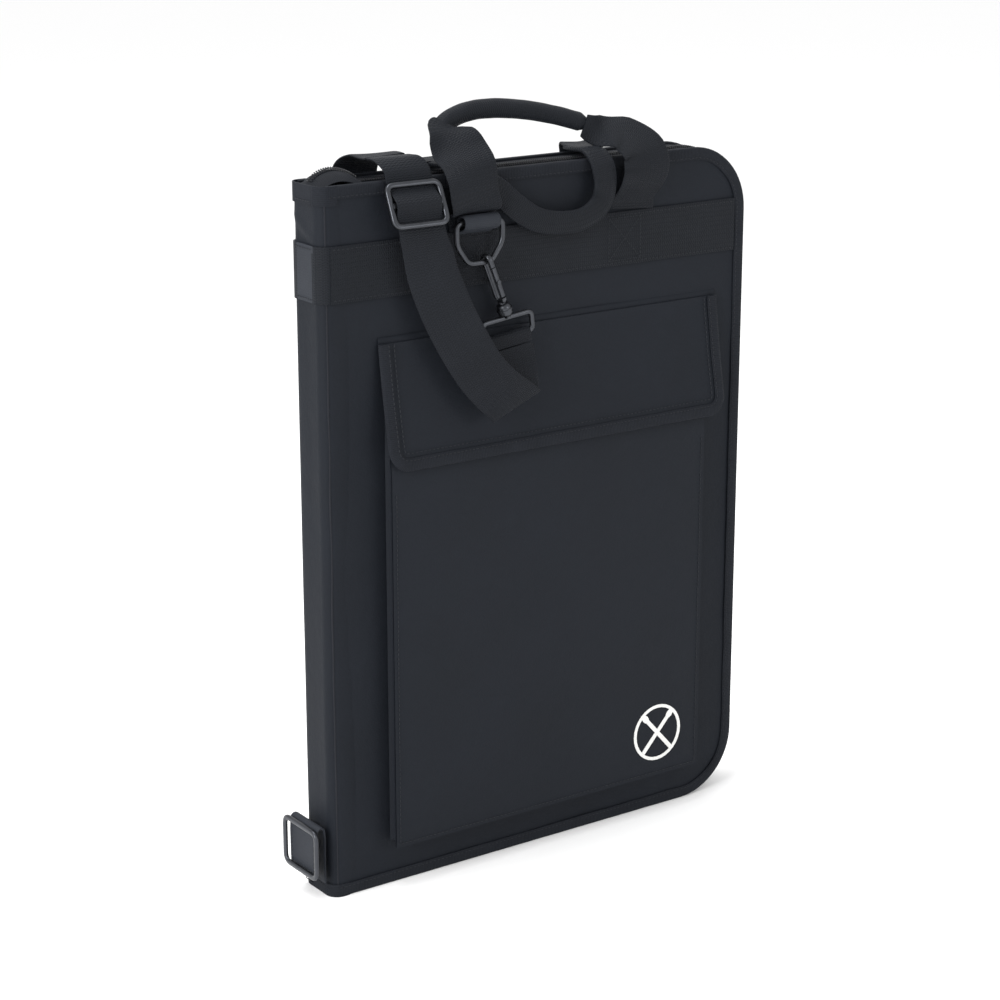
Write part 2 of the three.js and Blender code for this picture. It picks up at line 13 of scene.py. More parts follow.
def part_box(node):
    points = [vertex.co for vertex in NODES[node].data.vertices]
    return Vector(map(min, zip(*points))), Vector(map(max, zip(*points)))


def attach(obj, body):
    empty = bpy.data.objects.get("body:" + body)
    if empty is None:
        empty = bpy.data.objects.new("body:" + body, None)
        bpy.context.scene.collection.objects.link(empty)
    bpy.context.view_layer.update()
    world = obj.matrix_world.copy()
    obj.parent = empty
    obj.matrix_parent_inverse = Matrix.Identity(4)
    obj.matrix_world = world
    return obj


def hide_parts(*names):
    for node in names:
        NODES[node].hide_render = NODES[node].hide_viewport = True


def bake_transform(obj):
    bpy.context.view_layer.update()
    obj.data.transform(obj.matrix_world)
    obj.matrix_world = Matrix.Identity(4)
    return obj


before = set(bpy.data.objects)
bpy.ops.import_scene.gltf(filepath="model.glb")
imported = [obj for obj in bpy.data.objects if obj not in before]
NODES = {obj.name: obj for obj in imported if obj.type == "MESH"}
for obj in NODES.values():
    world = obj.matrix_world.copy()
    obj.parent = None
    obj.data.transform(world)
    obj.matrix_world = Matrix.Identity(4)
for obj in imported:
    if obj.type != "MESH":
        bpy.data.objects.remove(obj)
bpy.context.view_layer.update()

# ---- sizes, in millimetres ------------------------------------------------------------------
MM = 0.001
SHARP_ANGLE = 50              # degrees between two faces that meet in a sharp edge
HEIGHT = 500
LEFT, RIGHT = -180, 180
BACK = 20                     # distance of the binding's face from the middle plane
FACE = 19                     # distance of the fabric's face
COVER_LEFT = -174.4
CORNER = 48
BINDING = 9
SEAM = 2.8                    # how far the bound seam stands out of the gusset
ZIP_OPENING = 5
FOLD_RADIUS = 8               # of the soft edge between the spine and a cover
COIL_PITCH = 1.9
EDGE_STEP = 5                 # spacing of points along a cover's edge
BAND_LOW, BAND_HIGH = 422.5, 460.5
BAND_MIDDLE = (BAND_LOW + BAND_HIGH) / 2
WEB, STRAP, WEB_T = 38, 36, 1.6
POCKET = dict(left=-135, right=137, low=31, mouth=350, y=-32)
FLAP = dict(left=-138, right=154, low=305, top=391, y=-35.6)

# The bag frame's origin in the row frame: the spine's shell starts at x = LEFT and is centred on y = 0.
spine_low, spine_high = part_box("spine_shell")
ORIGIN = Vector((spine_low.x - LEFT * MM, (spine_low.y + spine_high.y) / 2, 0))


def at(x, y, z):
    """A point of the bag frame, in the row frame's metres."""
    return ORIGIN + Vector((x, y, z)) * MM


# ---- materials ------------------------------------------------------------------------------
class Look:
    """A principled material whose texture is worked out from UVs measured in metres."""

    def __init__(self, name, slot, color, roughness, metallic=0.0, sheen=0.0, specular=0.5):
        self.slot = slot
        self.color = color
        self.material = bpy.data.materials.new(name)
        self.material.use_nodes = True
        self.tree = self.material.node_tree
        self.shader = self.tree.nodes["Principled BSDF"]
        self.shader.inputs["Base Color"].default_value = (*color, 1)
        self.shader.inputs["Roughness"].default_value = roughness
        self.shader.inputs["Metallic"].default_value = metallic
        self.shader.inputs["Specular IOR Level"].default_value = specular
        self.shader.inputs["Sheen Weight"].default_value = sheen
        self.shader.inputs["Sheen Roughness"].default_value = 0.45
        self.shader.inputs["Sheen Tint"].default_value = (0.75, 0.82, 1, 1)
        self.coordinates = self.tree.nodes.new("ShaderNodeTexCoord")
        split = self.tree.nodes.new("ShaderNodeSeparateXYZ")
        self.link(self.coordinates.outputs["UV"], split.inputs[0])
        self.across, self.along = split.outputs[0], split.outputs[1]

    def link(self, out, into):
        self.tree.links.new(out, into)

    def math(self, operation, a, b=None, c=None):
        node = self.tree.nodes.new("ShaderNodeMath")
        node.operation = operation
        for socket, value in zip(node.inputs, (a, b, c)):
            if value is None:
                continue
            if isinstance(value, (int, float)):
                socket.default_value = value
            else:
                self.link(value, socket)
        return node.outputs[0]

    def wave(self, coordinate, pitch, shift=0.0):
        """Sine of a coordinate with that pitch in millimetres, from 0 to 1."""
        turns = self.math("MULTIPLY_ADD", coordinate, 2 * math.pi * 1000 / pitch, shift)
        return self.math("MULTIPLY_ADD", self.math("SINE", turns), 0.5, 0.5)

    def weave(self, pitch):
        """Squares of a plain weave with that pitch in millimetres, from 0 to 1."""
        return self.math("MULTIPLY", self.wave(self.across, pitch), self.wave(self.along, pitch))

    def cloud(self, size, detail=3):
        """Noise of that feature size in millimetres, from 0 to 1."""
        node = self.tree.nodes.new("ShaderNodeTexNoise")
        node.inputs["Scale"].default_value = 1000 / size
        node.inputs["Detail"].default_value = detail
        self.link(self.coordinates.outputs["Object"], node.inputs["Vector"])
        return node.outputs["Fac"]

    def blend_values(self, *pairs):
        """Weighted sum of (value, weight) pairs."""
        total = 0.0
        for value, weight in pairs:
            total = self.math("MULTIPLY_ADD", value, weight, total)
        return total

    def paint(self, fac, dark, light):
        """Base colour from dark to light multiples of the look's own colour."""
        ramp = self.tree.nodes.new("ShaderNodeMix")
        ramp.data_type = "RGBA"
        self.link(fac, ramp.inputs["Factor"])
        ramp.inputs["A"].default_value = (*[c * dark for c in self.color], 1)
        ramp.inputs["B"].default_value = (*[c * light for c in self.color], 1)
        self.link(ramp.outputs["Result"], self.shader.inputs["Base Color"])

    def rough(self, fac, low, high):
        self.link(self.math("MULTIPLY_ADD", fac, high - low, low), self.shader.inputs["Roughness"])

    def bump(self, height, depth, strength=1.0):
        """Bump of that depth in millimetres."""
        node = self.tree.nodes.new("ShaderNodeBump")
        node.inputs["Strength"].default_value = strength
        node.inputs["Distance"].default_value = depth * MM
        self.link(height, node.inputs["Height"])
        self.link(node.outputs[0], self.shader.inputs["Normal"])


def canvas_look(name, slot, color, sheen):
    """Coated canvas: a fine plain weave, slow tone changes and a few lighter scuffs."""
    look = Look(name, slot, color, 0.6, sheen=sheen, specular=0.09)
    threads = look.weave(0.9)
    slow = look.cloud(70, 3)
    grain = look.cloud(1.1, 2)
    scuffs = look.math("SMOOTH_MAX", look.math("SUBTRACT", look.cloud(22, 5), 0.6), 0.0, 0.02)
    tone = look.blend_values((slow, 0.5), (grain, 0.35), (threads, 0.15), (scuffs, 0.5))
    look.paint(tone, 0.62, 1.45)
    look.rough(look.blend_values((slow, 0.6), (grain, 0.4)), 0.46, 0.72)
    look.bump(look.blend_values((threads, 0.4), (grain, 0.8), (look.cloud(9, 3), 1.6)), 0.22, 0.8)
    return look


def webbing_look(name, slot, color, rib=1.7, column=3.4, depth=0.35):
    """Woven webbing: herringbone ribs across its length, in columns along it."""
    look = Look(name, slot, color, 0.55, sheen=0.015, specular=0.09)
    cell = look.math("FRACT", look.math("MULTIPLY", look.across, 1000 / column))
    slant = look.math("MULTIPLY", look.math("ABSOLUTE", look.math("SUBTRACT", cell, 0.5)), 2 * math.pi)
    ribs = look.wave(look.along, rib, slant)
    columns = look.wave(look.across, column / 2)
    height = look.blend_values((ribs, 0.75), (columns, 0.25))
    slow = look.cloud(35, 3)
    look.paint(look.blend_values((height, 0.4), (slow, 0.35), (look.cloud(0.8, 1), 0.25)), 0.5, 1.6)
    look.rough(height, 0.42, 0.68)
    look.bump(height, depth)
    return look


def tape_look(name, slot, color):
    """Binding tape: close cross ribs and a fuzzy surface."""
    look = Look(name, slot, color, 0.7, sheen=0.02, specular=0.1)
    ribs = look.wave(look.along, 1.3)
    speckle = look.cloud(1.0, 2)
    look.paint(look.blend_values((ribs, 0.25), (speckle, 0.45), (look.cloud(18, 3), 0.3)), 0.4, 1.75)
    look.bump(look.blend_values((ribs, 0.5), (speckle, 0.9)), 0.3)
    return look


def metal_look(name, slot, color, roughness):
    """Satin dark plating with faint casting marks and lighter, rubbed patches."""
    look = Look(name, slot, color, roughness, metallic=0.9)
    marks = look.cloud(3, 4)
    look.paint(look.blend_values((look.cloud(14, 4), 0.6), (marks, 0.4)), 0.65, 1.45)
    look.rough(marks, roughness - 0.1, roughness + 0.14)
    look.bump(marks, 0.05, 0.5)
    return look


def plastic_look(name, slot, color, roughness):
    """Moulded or drawn nylon: nearly even, with faint marks."""
    look = Look(name, slot, color, roughness, specular=0.2)
    marks = look.cloud(1.5, 3)
    look.paint(marks, 0.7, 1.35)
    look.rough(marks, roughness - 0.08, roughness + 0.1)
    look.bump(marks, 0.05, 0.4)
    return look


CANVAS = canvas_look("canvas", "canvas", (0.0088, 0.0105, 0.0142), 0.015)
LINING = canvas_look("lining", "lining", (0.016, 0.017, 0.021), 0.02)
EDGING = tape_look("edging", "edging", (0.0085, 0.0098, 0.0130))
WEBBING = webbing_look("webbing", "webbing", (0.0080, 0.0092, 0.0118))
SMOOTH_WEBBING = webbing_look("smooth_webbing", "webbing", (0.020, 0.0225, 0.028), 1.1, 1.8, 0.16)
THREAD = plastic_look("thread", "edging", (0.013, 0.0145, 0.018), 0.7)
HARDWARE = metal_look("hardware", "hardware", (0.05, 0.053, 0.06), 0.3)
ZIP_COIL = plastic_look("zip_coil", "zip_coil", (0.010, 0.011, 0.014), 0.35)
ZIP_TAPE = tape_look("zip_tape", "zip_coil", (0.008, 0.009, 0.0115))
ZIP_METAL = metal_look("zip_metal", "zip_metal", (0.045, 0.047, 0.052), 0.32)
FOAM = tape_look("padding", "padding", (0.10, 0.10, 0.11))


def net_look():
    """Knitted mesh: round dark eyes between lighter threads, in a square grid."""
    look = Look("mesh", "mesh", (0.010, 0.010, 0.012), 0.7, sheen=0.05)
    eyes = look.weave(2.4)
    look.paint(eyes, 1.6, 0.15)
    look.bump(look.blend_values((eyes, -0.8), (look.cloud(1.2, 2), 0.3)), 0.5)
    return look


def fuzzy_look():
    """Hook-and-loop tape: a pile of tiny loops."""
    look = Look("hook_and_loop", "hook_and_loop", (0.008, 0.0085, 0.010), 0.9, sheen=0.1)
    pile = look.math("MULTIPLY", look.cloud(0.8, 3), look.cloud(2.0, 2))
    look.paint(pile, 0.5, 2.5)
    look.bump(pile, 0.6)
    return look


def print_look():
    """Screen print: off-white ink over a weave, thin in places."""
    look = Look("print", "print", (0.74, 0.74, 0.72), 0.55)
    threads = look.weave(0.9)
    look.paint(look.blend_values((look.cloud(2.2, 3), 0.6), (threads, 0.4)), 0.72, 1.12)
    look.bump(look.cloud(1.1, 2), 0.1)
    return look


MESH = net_look()
FUZZ = fuzzy_look()
PRINT = print_look()


# ---- mesh helpers ---------------------------------------------------------------------------
class Part:
    """Points in the bag frame, the faces between them, and a UV in metres for each point."""

    def __init__(self, points=(), faces=(), uvs=()):
        self.points = list(points)
        self.faces = list(faces)
        self.uvs = list(uvs)

    def add(self, other):
        shift = len(self.points)
        self.points += other.points
        self.uvs += other.uvs
        self.faces += [tuple(i + shift for i in face) for face in other.faces]
        return self

    def moved(self, matrix):
        return Part([matrix @ p for p in self.points], self.faces, self.uvs)


def grid(rows, wrap=False, caps=False):
    """Surface through rows of points. wrap closes each row on itself, and caps closes a tube's two ends."""
    part = Part()
    columns = len(rows[0])
    along = 0.0
    for j, row in enumerate(rows):
        if j:
            along += (row[columns // 2] - rows[j - 1][columns // 2]).length
        across = 0.0
        for i, point in enumerate(row):
            if i:
                across += (point - row[i - 1]).length
            part.points.append(Vector(point))
            part.uvs.append((across * MM, along * MM))
    last = columns if wrap else columns - 1
    for j in range(len(rows) - 1):
        for i in range(last):
            a = j * columns + i
            b = j * columns + (i + 1) % columns
            part.faces.append((a, b, b + columns, a + columns))
    if caps:
        part.faces.append(tuple(reversed(range(columns))))
        part.faces.append(tuple(range((len(rows) - 1) * columns, len(rows) * columns)))
    return part


def span(start, end, steps):
    """Evenly spaced values from start to end."""
    return [start + (end - start) * k / steps for k in range(steps + 1)]


def surface(across, along, point, axes=None):
    """Grid of point(a, b) over two lists of values. Its texture follows two axes, or its own grid."""
    part = grid([[Vector(point(a, b)) for a in across] for b in along])
    if axes:
        part.uvs = [(p[axes[0]] * MM, p[axes[1]] * MM) for p in part.points]
    return part


def add_ring(part, previous, points, uvs):
    """Strip of faces from a row of a part's points to a new row."""
    ring = range(len(part.points), len(part.points) + len(points))
    part.points += points
    part.uvs += uvs
    part.faces += [(previous[k], previous[k + 1], ring[k + 1], ring[k]) for k in range(len(ring) - 1)]
    return ring


def thicken(part, thickness, inside=None):
    """Closed sheet: the surface, and a copy set back along its normals, on the side of the point inside."""
    normals = [Vector() for _ in part.points]
    uses = {}
    for face in part.faces:
        corners = [part.points[i] for i in face]
        normal = (corners[2] - corners[0]).cross(corners[-1] - corners[1])
        for i in face:
            normals[i] += normal
        for a, b in zip(face, face[1:] + face[:1]):
            key = (min(a, b), max(a, b))
            uses.setdefault(key, []).append((a, b))
    count = len(part.points)
    if inside is not None:
        middle = len(part.points) // 2
        if (Vector(inside) - part.points[middle]).dot(normals[middle]) > 0:
            thickness = -thickness
    back = [p - n.normalized() * thickness for p, n in zip(part.points, normals)]
    faces = list(part.faces)
    faces += [tuple(i + count for i in reversed(face)) for face in part.faces]
    for found in uses.values():
        if len(found) == 1:
            a, b = found[0]
            faces.append((b, a, a + count, b + count))
    return Part(part.points + back, faces, part.uvs * 2)


def make(name, part, look, body, nodes=()):
    """A finished piece: riding on a body, and standing for CAD nodes."""
    mesh = bpy.data.meshes.new(name)
    mesh.from_pydata([ORIGIN + p * MM for p in part.points], [], part.faces)
    layer = mesh.uv_layers.new(name="UVMap")
    for loop in mesh.loops:
        layer.data[loop.index].uv = part.uvs[loop.vertex_index]
    editable = bmesh.new()
    editable.from_mesh(mesh)
    bmesh.ops.recalc_face_normals(editable, faces=editable.faces)
    editable.to_mesh(mesh)
    editable.free()
    mesh.shade_smooth()
    mesh.set_sharp_from_angle(angle=math.radians(SHARP_ANGLE))
    mesh.materials.append(look.material)
    piece = bpy.data.objects.new(name, mesh)
    bpy.context.collection.objects.link(piece)
    if nodes:
        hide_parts(*nodes)
    if body:
        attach(piece, body)
    return piece


def spline(points, t):
    """Point at t (0 to 1) on the centripetal Catmull-Rom curve through the points."""
    span = t * (len(points) - 1)
    i = min(int(span), len(points) - 2)
    s = span - i
    p1, p2 = points[i], points[i + 1]
    p0 = points[i - 1] if i else 2 * p1 - p2
    p3 = points[i + 2] if i + 2 < len(points) else 2 * p2 - p1
    d1 = math.sqrt((p2 - p1).length) or 1.0
    d0 = math.sqrt((p1 - p0).length) or d1
    d2 = math.sqrt((p3 - p2).length) or d1
    m1 = d1 * ((p1 - p0) / d0 - (p2 - p0) / (d0 + d1) + (p2 - p1) / d1)
    m2 = d1 * ((p2 - p1) / d1 - (p3 - p1) / (d1 + d2) + (p3 - p2) / d2)
    return p1 + s * m1 + s * s * (3 * (p2 - p1) - 2 * m1 - m2) + s * s * s * (2 * (p1 - p2) + m1 + m2)


def curve_at(points, t, reach):
    """Point and direction at t on the curve through the points."""
    ahead = spline(points, min(t + reach, 1)) - spline(points, max(t - reach, 0))
    return spline(points, t), ahead.normalized()


def stations(points, steps, width=WEB, turn=0, square=True):
    """Frames (centre, across, out, width) along a strip. Each station is x, y, z and then, where they differ
    from the strip's own, its width, turn and tip. Its width lies along +X, turned about Z by turn and lifted
    by tip, in degrees. It is then made square to the strip's length, unless the strip folds over at a slant.
    """
    centres = [Vector(p[:3]) for p in points]
    shapes = [Vector((*p[3:], *(width, turn, 0)[len(p) - 3:])) for p in points]
    frames = []
    for t in span(0, 1, steps):
        centre, ahead = curve_at(centres, t, 0.001)
        wide, turned, tipped = spline(shapes, t)
        turned, tipped = math.radians(turned), math.radians(tipped)
        level = math.cos(tipped)
        across = Vector((math.cos(turned) * level, math.sin(turned) * level, math.sin(tipped)))
        if square:
            across -= ahead * across.dot(ahead)
            across.normalize()
        frames.append((centre, across, ahead.cross(across).normalized(), wide))
    return frames


def folded(profile, middle, across, width):
    """Frames of a web bent along a curve, its width lying along across."""
    frames = []
    for t in span(0, 1, 40):
        centre, ahead = curve_at(profile, t, 0.01)
        frames.append((centre + middle, across, ahead.cross(across), width))
    return frames


WEB_EDGE = (-1, -0.97, -0.9, -0.7, -0.45, -0.2, 0.2, 0.45, 0.7, 0.9, 0.97, 1)


def web_section(width, thickness):
    """Closed outline of a webbing: flat, with rounded selvedges."""
    upper = []
    for f in WEB_EDGE:
        half = thickness / 2 * (0.4 if abs(f) > 0.99 else 0.85 if abs(f) > 0.95 else 1)
        upper.append((f * width / 2, half))
    return upper + [(a, -h) for a, h in reversed(upper)]


def webbing(frames, thickness=WEB_T, ripple=0.0):
    """Webbing along frames, swaying off its path by up to ripple."""
    rows = []
    for centre, across, out, width in frames:
        sway = ripple * noise.noise(centre / 23)
        section = web_section(width, thickness)
        rows.append([centre + across * a + out * (b + sway) for a, b in section])
    return grid(rows, wrap=True, caps=True)


def fillet(points, radius, closed=True):
    """Polygon with its corners rounded."""
    count = len(points)
    result = []
    for i, corner in enumerate(points):
        if not closed and i in (0, count - 1):
            result.append(Vector(corner))
            continue
        before = Vector(points[i - 1]) - Vector(corner)
        after = Vector(points[(i + 1) % count]) - Vector(corner)
        reach = min(radius, before.length * 0.48, after.length * 0.48)
        start = Vector(corner) + before.normalized() * reach
        end = Vector(corner) + after.normalized() * reach
        for t in span(0, 1, 5):
            result.append(start * (1 - t) ** 2 + Vector(corner) * 2 * t * (1 - t) + end * t * t)
    return result


def rod(path, flat, thin, normal, closed=True):
    """Bar with a rounded section along a plane path: flat is its half width in the plane, thin across it."""
    sides, squareness = 12, 0.75
    normal = Vector(normal).normalized()
    count = len(path)
    rows = []
    for i, point in enumerate(path):
        before = path[i - 1] if closed or i else point
        after = path[(i + 1) % count] if closed or i < count - 1 else point
        side = (after - before).normalized().cross(normal).normalized()
        ring = []
        for k in range(sides):
            angle = 2 * math.pi * k / sides
            a, b = math.cos(angle), math.sin(angle)
            a = math.copysign(abs(a) ** squareness, a) * flat
            b = math.copysign(abs(b) ** squareness, b) * thin
            ring.append(point + side * a + normal * b)
        rows.append(ring)
    if closed:
        rows.append([p.copy() for p in rows[0]])
    return grid(rows, wrap=True, caps=not closed)


def lathe(profile, axis_point, axis):
    """Solid of revolution: profile is (radius, distance along the axis) pairs."""
    axis = Vector(axis).normalized()
    side = axis.orthogonal().normalized()
    other = axis.cross(side)
    rows = []
    angles = [math.radians(a) for a in range(0, 360, 18)]
    for radius, distance in profile:
        centre = Vector(axis_point) + axis * distance
        rows.append([centre + (side * math.cos(t) + other * math.sin(t)) * max(radius, 0.01) for t in angles])
    return grid(rows, wrap=True, caps=True)


def stitches(path, outs, pitch=3.4, length=2.5, radius=0.34):
    """A row of thread stitches along a path, lying on a surface whose outward directions are outs."""
    part = Part()
    distance = 0.0
    due = pitch / 2
    for k in range(len(path) - 1):
        step = path[k + 1] - path[k]
        while distance + step.length > due:
            t = (due - distance) / step.length
            centre = path[k] + step * t
            out = outs[k].normalized()
            ahead = step.normalized()
            side = ahead.cross(out).normalized()
            shift = len(part.points)
            ends = [centre - ahead * length / 2 - out * radius, centre + ahead * length / 2 - out * radius]
            part.points += ends
            for f in (-0.3, 0.3):
                middle = centre + ahead * length * f
                part.points += [middle + side * radius, middle + out * radius,
                                middle - side * radius, middle - out * radius]
            faces = [(0, 3, 2), (0, 4, 3), (0, 5, 4), (0, 2, 5), (1, 6, 7), (1, 7, 8), (1, 8, 9), (1, 9, 6)]
            faces += [(2, 3, 7, 6), (3, 4, 8, 7), (4, 5, 9, 8), (5, 2, 6, 9)]
            part.faces += [tuple(i + shift for i in face) for face in faces]
            part.uvs += [(due * MM, 0)] * 10
            due += pitch
        distance += step.length
    return part


def straight(start, end, out, steps=40):
    """Path and outward directions for a straight row of stitches."""
    start, end = Vector(start), Vector(end)
    return [start.lerp(end, t) for t in span(0, 1, steps)], [Vector(out)] * (steps + 1)


def crossed_box(x0, x1, z0, z1, y, side, pitch, length):
    """Stitched box with a cross in it, on a face at y."""
    corners = [(x0, z0), (x1, z0), (x1, z1), (x0, z1)]
    runs = list(zip(corners, corners[1:] + corners[:1]))
    runs += [(corners[0], corners[2]), (corners[1], corners[3])]
    part = Part()
    for (xa, za), (xb, zb) in runs:
        part.add(stitches(*straight((xa, y, za), (xb, y, zb), (0, side, 0)), pitch, length, 0.4))
    return part


def arc(x, z, radius, start, turn, steps):
    """(x, z, normal x, normal z) on an arc about (x, z), from the angle start through turn, in degrees."""
    path = []
    for angle in span(math.radians(start), math.radians(start + turn), steps):
        c, s = math.cos(angle), math.sin(angle)
        path.append((x + radius * c, z + radius * s, c, s))
    return path


# ---- the covers -----------------------------------------------------------------------------
def edge_path(margin, start=COVER_LEFT):
    """(x, z, normal x, normal z) round a cover drawn in by a margin: top, zip side, bottom."""
    radius = CORNER - margin
    reach = RIGHT - CORNER
    tall = HEIGHT - 2 * CORNER
    level = span(start, reach, int((reach - start) / EDGE_STEP))
    path = [(x, HEIGHT - margin, 0, 1) for x in level[:-1]]
    path += arc(reach, HEIGHT - CORNER, radius, 90, -90, 16)
    path += [(RIGHT - margin, z, 1, 0) for z in span(HEIGHT - CORNER, CORNER, int(tall / EDGE_STEP))[1:-1]]
    path += arc(reach, CORNER, radius, 0, -90, 16)
    path += [(x, margin, 0, -1) for x in level[-2::-1]]
    return path


def relief(x, z, seed):
    """Slow, shallow unevenness of stiffened canvas, in millimetres, seldom proud of its flat place."""
    slow = noise.noise(Vector((x / 85, z / 150, seed)))
    fine = noise.noise(Vector((x / 30, z / 48, seed + 7)))
    return 0.75 * slow + 0.25 * fine - 0.35


def fold_drop(x):
    """How far the rounded edge beside the spine lies behind the flat face at x."""
    reach = min(max(LEFT + FOLD_RADIUS - x, 0), FOLD_RADIUS)
    return FOLD_RADIUS - math.sqrt(FOLD_RADIUS ** 2 - reach ** 2)


def cover(side, margin, face, inner, thickness, seed):
    """Soft shell of one cover: its face, a rounded edge, and the gusset back to the zip."""
    rounding = 2
    columns = 60
    low, high = margin + rounding, HEIGHT - margin - rounding
    bend = CORNER - margin - rounding
    middle = RIGHT - margin - rounding - bend
    drops = [bend * (1 - math.cos(math.pi / 2 * k / 10)) for k in range(10)]
    heights = [low + d for d in drops] + span(low + bend, high - bend, 60)
    heights += [high - d for d in reversed(drops)]

    def point(share, z):
        depth = max(low + bend - z, z - high + bend, 0)
        right = middle + math.sqrt(max(bend * bend - depth * depth, 0))
        x = COVER_LEFT + (right - COVER_LEFT) * share
        sink = fold_drop(x) + 0.4 * max(0, min(1, (-160 - x) / 6))
        return x, side * (face + relief(x, z, seed) - sink), z

    part = surface(span(0, 1, columns), heights, point, (0, 2))
    width = columns + 1
    last = len(heights) - 1
    loop = [last * width + i for i in range(width)]
    loop += [j * width + columns for j in range(last - 1, 0, -1)]
    loop += [columns - i for i in range(width)]
    normals = []
    for index in loop:
        p = part.points[index]
        x = max(p.x - middle, 0)
        z = max(p.z - (high - bend), 0) + min(p.z - (low + bend), 0)
        normals.append(Vector((x, 0, z)).normalized() if x or z else Vector((0, 0, 1)))
    ring = loop
    for out, back in [(1.3, 0.25), (1.85, 1.0), (2.0, 2.4), (2.1, 5), (2.1, 9), (2.0, face - inner)]:
        points, uvs = [], []
        for index, normal in zip(loop, normals):
            p = part.points[index]
            u, v = part.uvs[index]
            wobble = 0.35 * noise.noise(p / 30) if 3 < back < 12 else 0
            new = p + normal * (out + wobble)
            new.y = side * (face - back) + (p.y - side * face) * max(0, 1 - back / 3)
            points.append(new)
            uvs.append((u + normal.x * back * MM, v + normal.z * back * MM))
        ring = add_ring(part, ring, points, uvs)
    return thicken(part, thickness, (0, 0, HEIGHT / 2))


BINDING_SECTION = [(-9, 19.25), (-8.9, 19.9), (-7.6, 20.3), (-4.2, 20.42), (-1.7, 20.3), (-0.45, 19.75),
                   (0, 18.5), (-0.05, 17.1), (-0.5, 16.05), (-1.6, 15.8), (-2.7, 16.3), (-2.7, 18.4),
                    (-5, 19.2)]


def binding(side):
    """Bound seam: a soft tape folded over the cover's edge. Its inner edge wanders a little."""
    rows = []
    for x, z, nx, nz in edge_path(0):
        wander = 0.55 * noise.noise(Vector((x / 26, side, z / 26)))
        swell = 0.18 * noise.noise(Vector((x / 9, side + 5, z / 9)))
        row = []
        for n, y in BINDING_SECTION:
            inset = n + (wander if n < -7 else 0)
            proud = y + (swell if y > 20 else 0) - fold_drop(x)
            row.append(Vector((x + nx * inset, side * proud, z + nz * inset)))
        rows.append(row)
    return grid(rows, wrap=True, caps=True)


def zip_tape(side):
    """Woven tape on the gusset, from the coil to the bound seam."""
    rows = []
    for x, z, nx, nz in edge_path(0, COVER_LEFT + 12):
        row = []
        for n, y in ((-2.2, 2.2), (-2.1, 4.5), (-1.95, 8), (-1.9, 12), (-2.0, 15.7)):
            n += 0.12 * noise.noise(Vector((x / 14, y, z / 14)))
            row.append(Vector((x + nx * n, side * y, z + nz * n)))
        rows.append(row)
    return thicken(grid(rows), 0.6, (0, 0, HEIGHT / 2))


def thread_ring(middle, out, ahead, half):
    """Section of a coil's thread, half its thickness out from the middle."""
    return [middle + out * half, middle + ahead * 0.46, middle - out * half, middle - ahead * 0.46]


def zip_coil(side, path):
    """Nylon coil: one loop for each tooth, wound round its cord along the path (x, z, nx, nz)."""
    centre_n, centre_y, tall, wide = -1.5, 1.75, 0.85, 1.35
    rows = []
    turn = 0.0 if side > 0 else math.pi
    per_turn = 8
    for a, b in zip(path, path[1:]):
        gap = math.hypot(b[0] - a[0], b[1] - a[1])
        count = max(1, round(gap / COIL_PITCH * per_turn))
        ahead = Vector((b[0] - a[0], 0, b[1] - a[1])).normalized()
        for i in range(count):
            t = i / count
            x, z, nx, nz = (p + (q - p) * t for p, q in zip(a, b))
            turn += 2 * math.pi * gap / count / COIL_PITCH
            c, s = math.cos(turn), math.sin(turn)
            n = centre_n + tall * s
            middle = Vector((x + nx * n, side * (centre_y - wide * c), z + nz * n))
            rows.append(thread_ring(middle, Vector((nx * s, -side * c, nz * s)).normalized(), ahead, 0.42))
    return grid(rows, wrap=True, caps=True)


def band(side):
    """Webbing sewn across the face of a cover."""
    frames = []
    for x in span(COVER_LEFT + 1, RIGHT - BINDING - 1, 90):
        z = BAND_MIDDLE + 0.35 * noise.noise(Vector((x / 40, side, 3)))
        frames.append((Vector((x, side * (FACE + 1), z)), Vector((0, 0, 1)), Vector((0, side, 0)), WEB))
    return webbing(frames, 1.3)


for word, side, seed in (("rear", 1, 3.0), ("front", -1, 11.0)):
    body = f"{word}_cover"
    canvas = cover(side, SEAM + 0.4, FACE, ZIP_OPENING, 1.1, seed)
    make(f"{word}_canvas", canvas, CANVAS, body, [f"{word}_shell"])
    make(f"{word}_inner_lining", cover(side, SEAM + 2, 14, ZIP_OPENING + 0.4, 0.9, seed + 2), LINING, body,
         [f"{word}_lining"])
    make(f"{word}_edge_binding", binding(side), EDGING, body, [f"{word}_binding"])
    make(f"{word}_zip_tape", zip_tape(side), ZIP_TAPE, body, [f"{word}_zip_half"])
    make(f"{word}_zip_coil", zip_coil(side, edge_path(0, COVER_LEFT + 12)), ZIP_COIL, body)
    make(f"{word}_web_band", band(side), WEBBING, body, [f"{word}_band"])
    seam_path = [Vector((x - 7.3 * nx, side * 20.36, z - 7.3 * nz)) for x, z, nx, nz in edge_path(0)]
    outs = [Vector((0, side, 0))] * len(seam_path)
    sewing = stitches(seam_path, outs)
    for height in (BAND_LOW + 2.2, BAND_HIGH - 2.2):
        ends = [(x, side * 20.7, height) for x in (-172, 168)]
        sewing.add(stitches(*straight(*ends, (0, side, 0))))
    for x in ((69, -61) if side < 0 else (69, -70)):
        sewing.add(crossed_box(x - 14, x + 14, BAND_LOW + 4, BAND_HIGH - 4, side * 20.72, side, 2.6, 2.2))
    make(f"{word}_cover_stitches", sewing, THREAD, body)


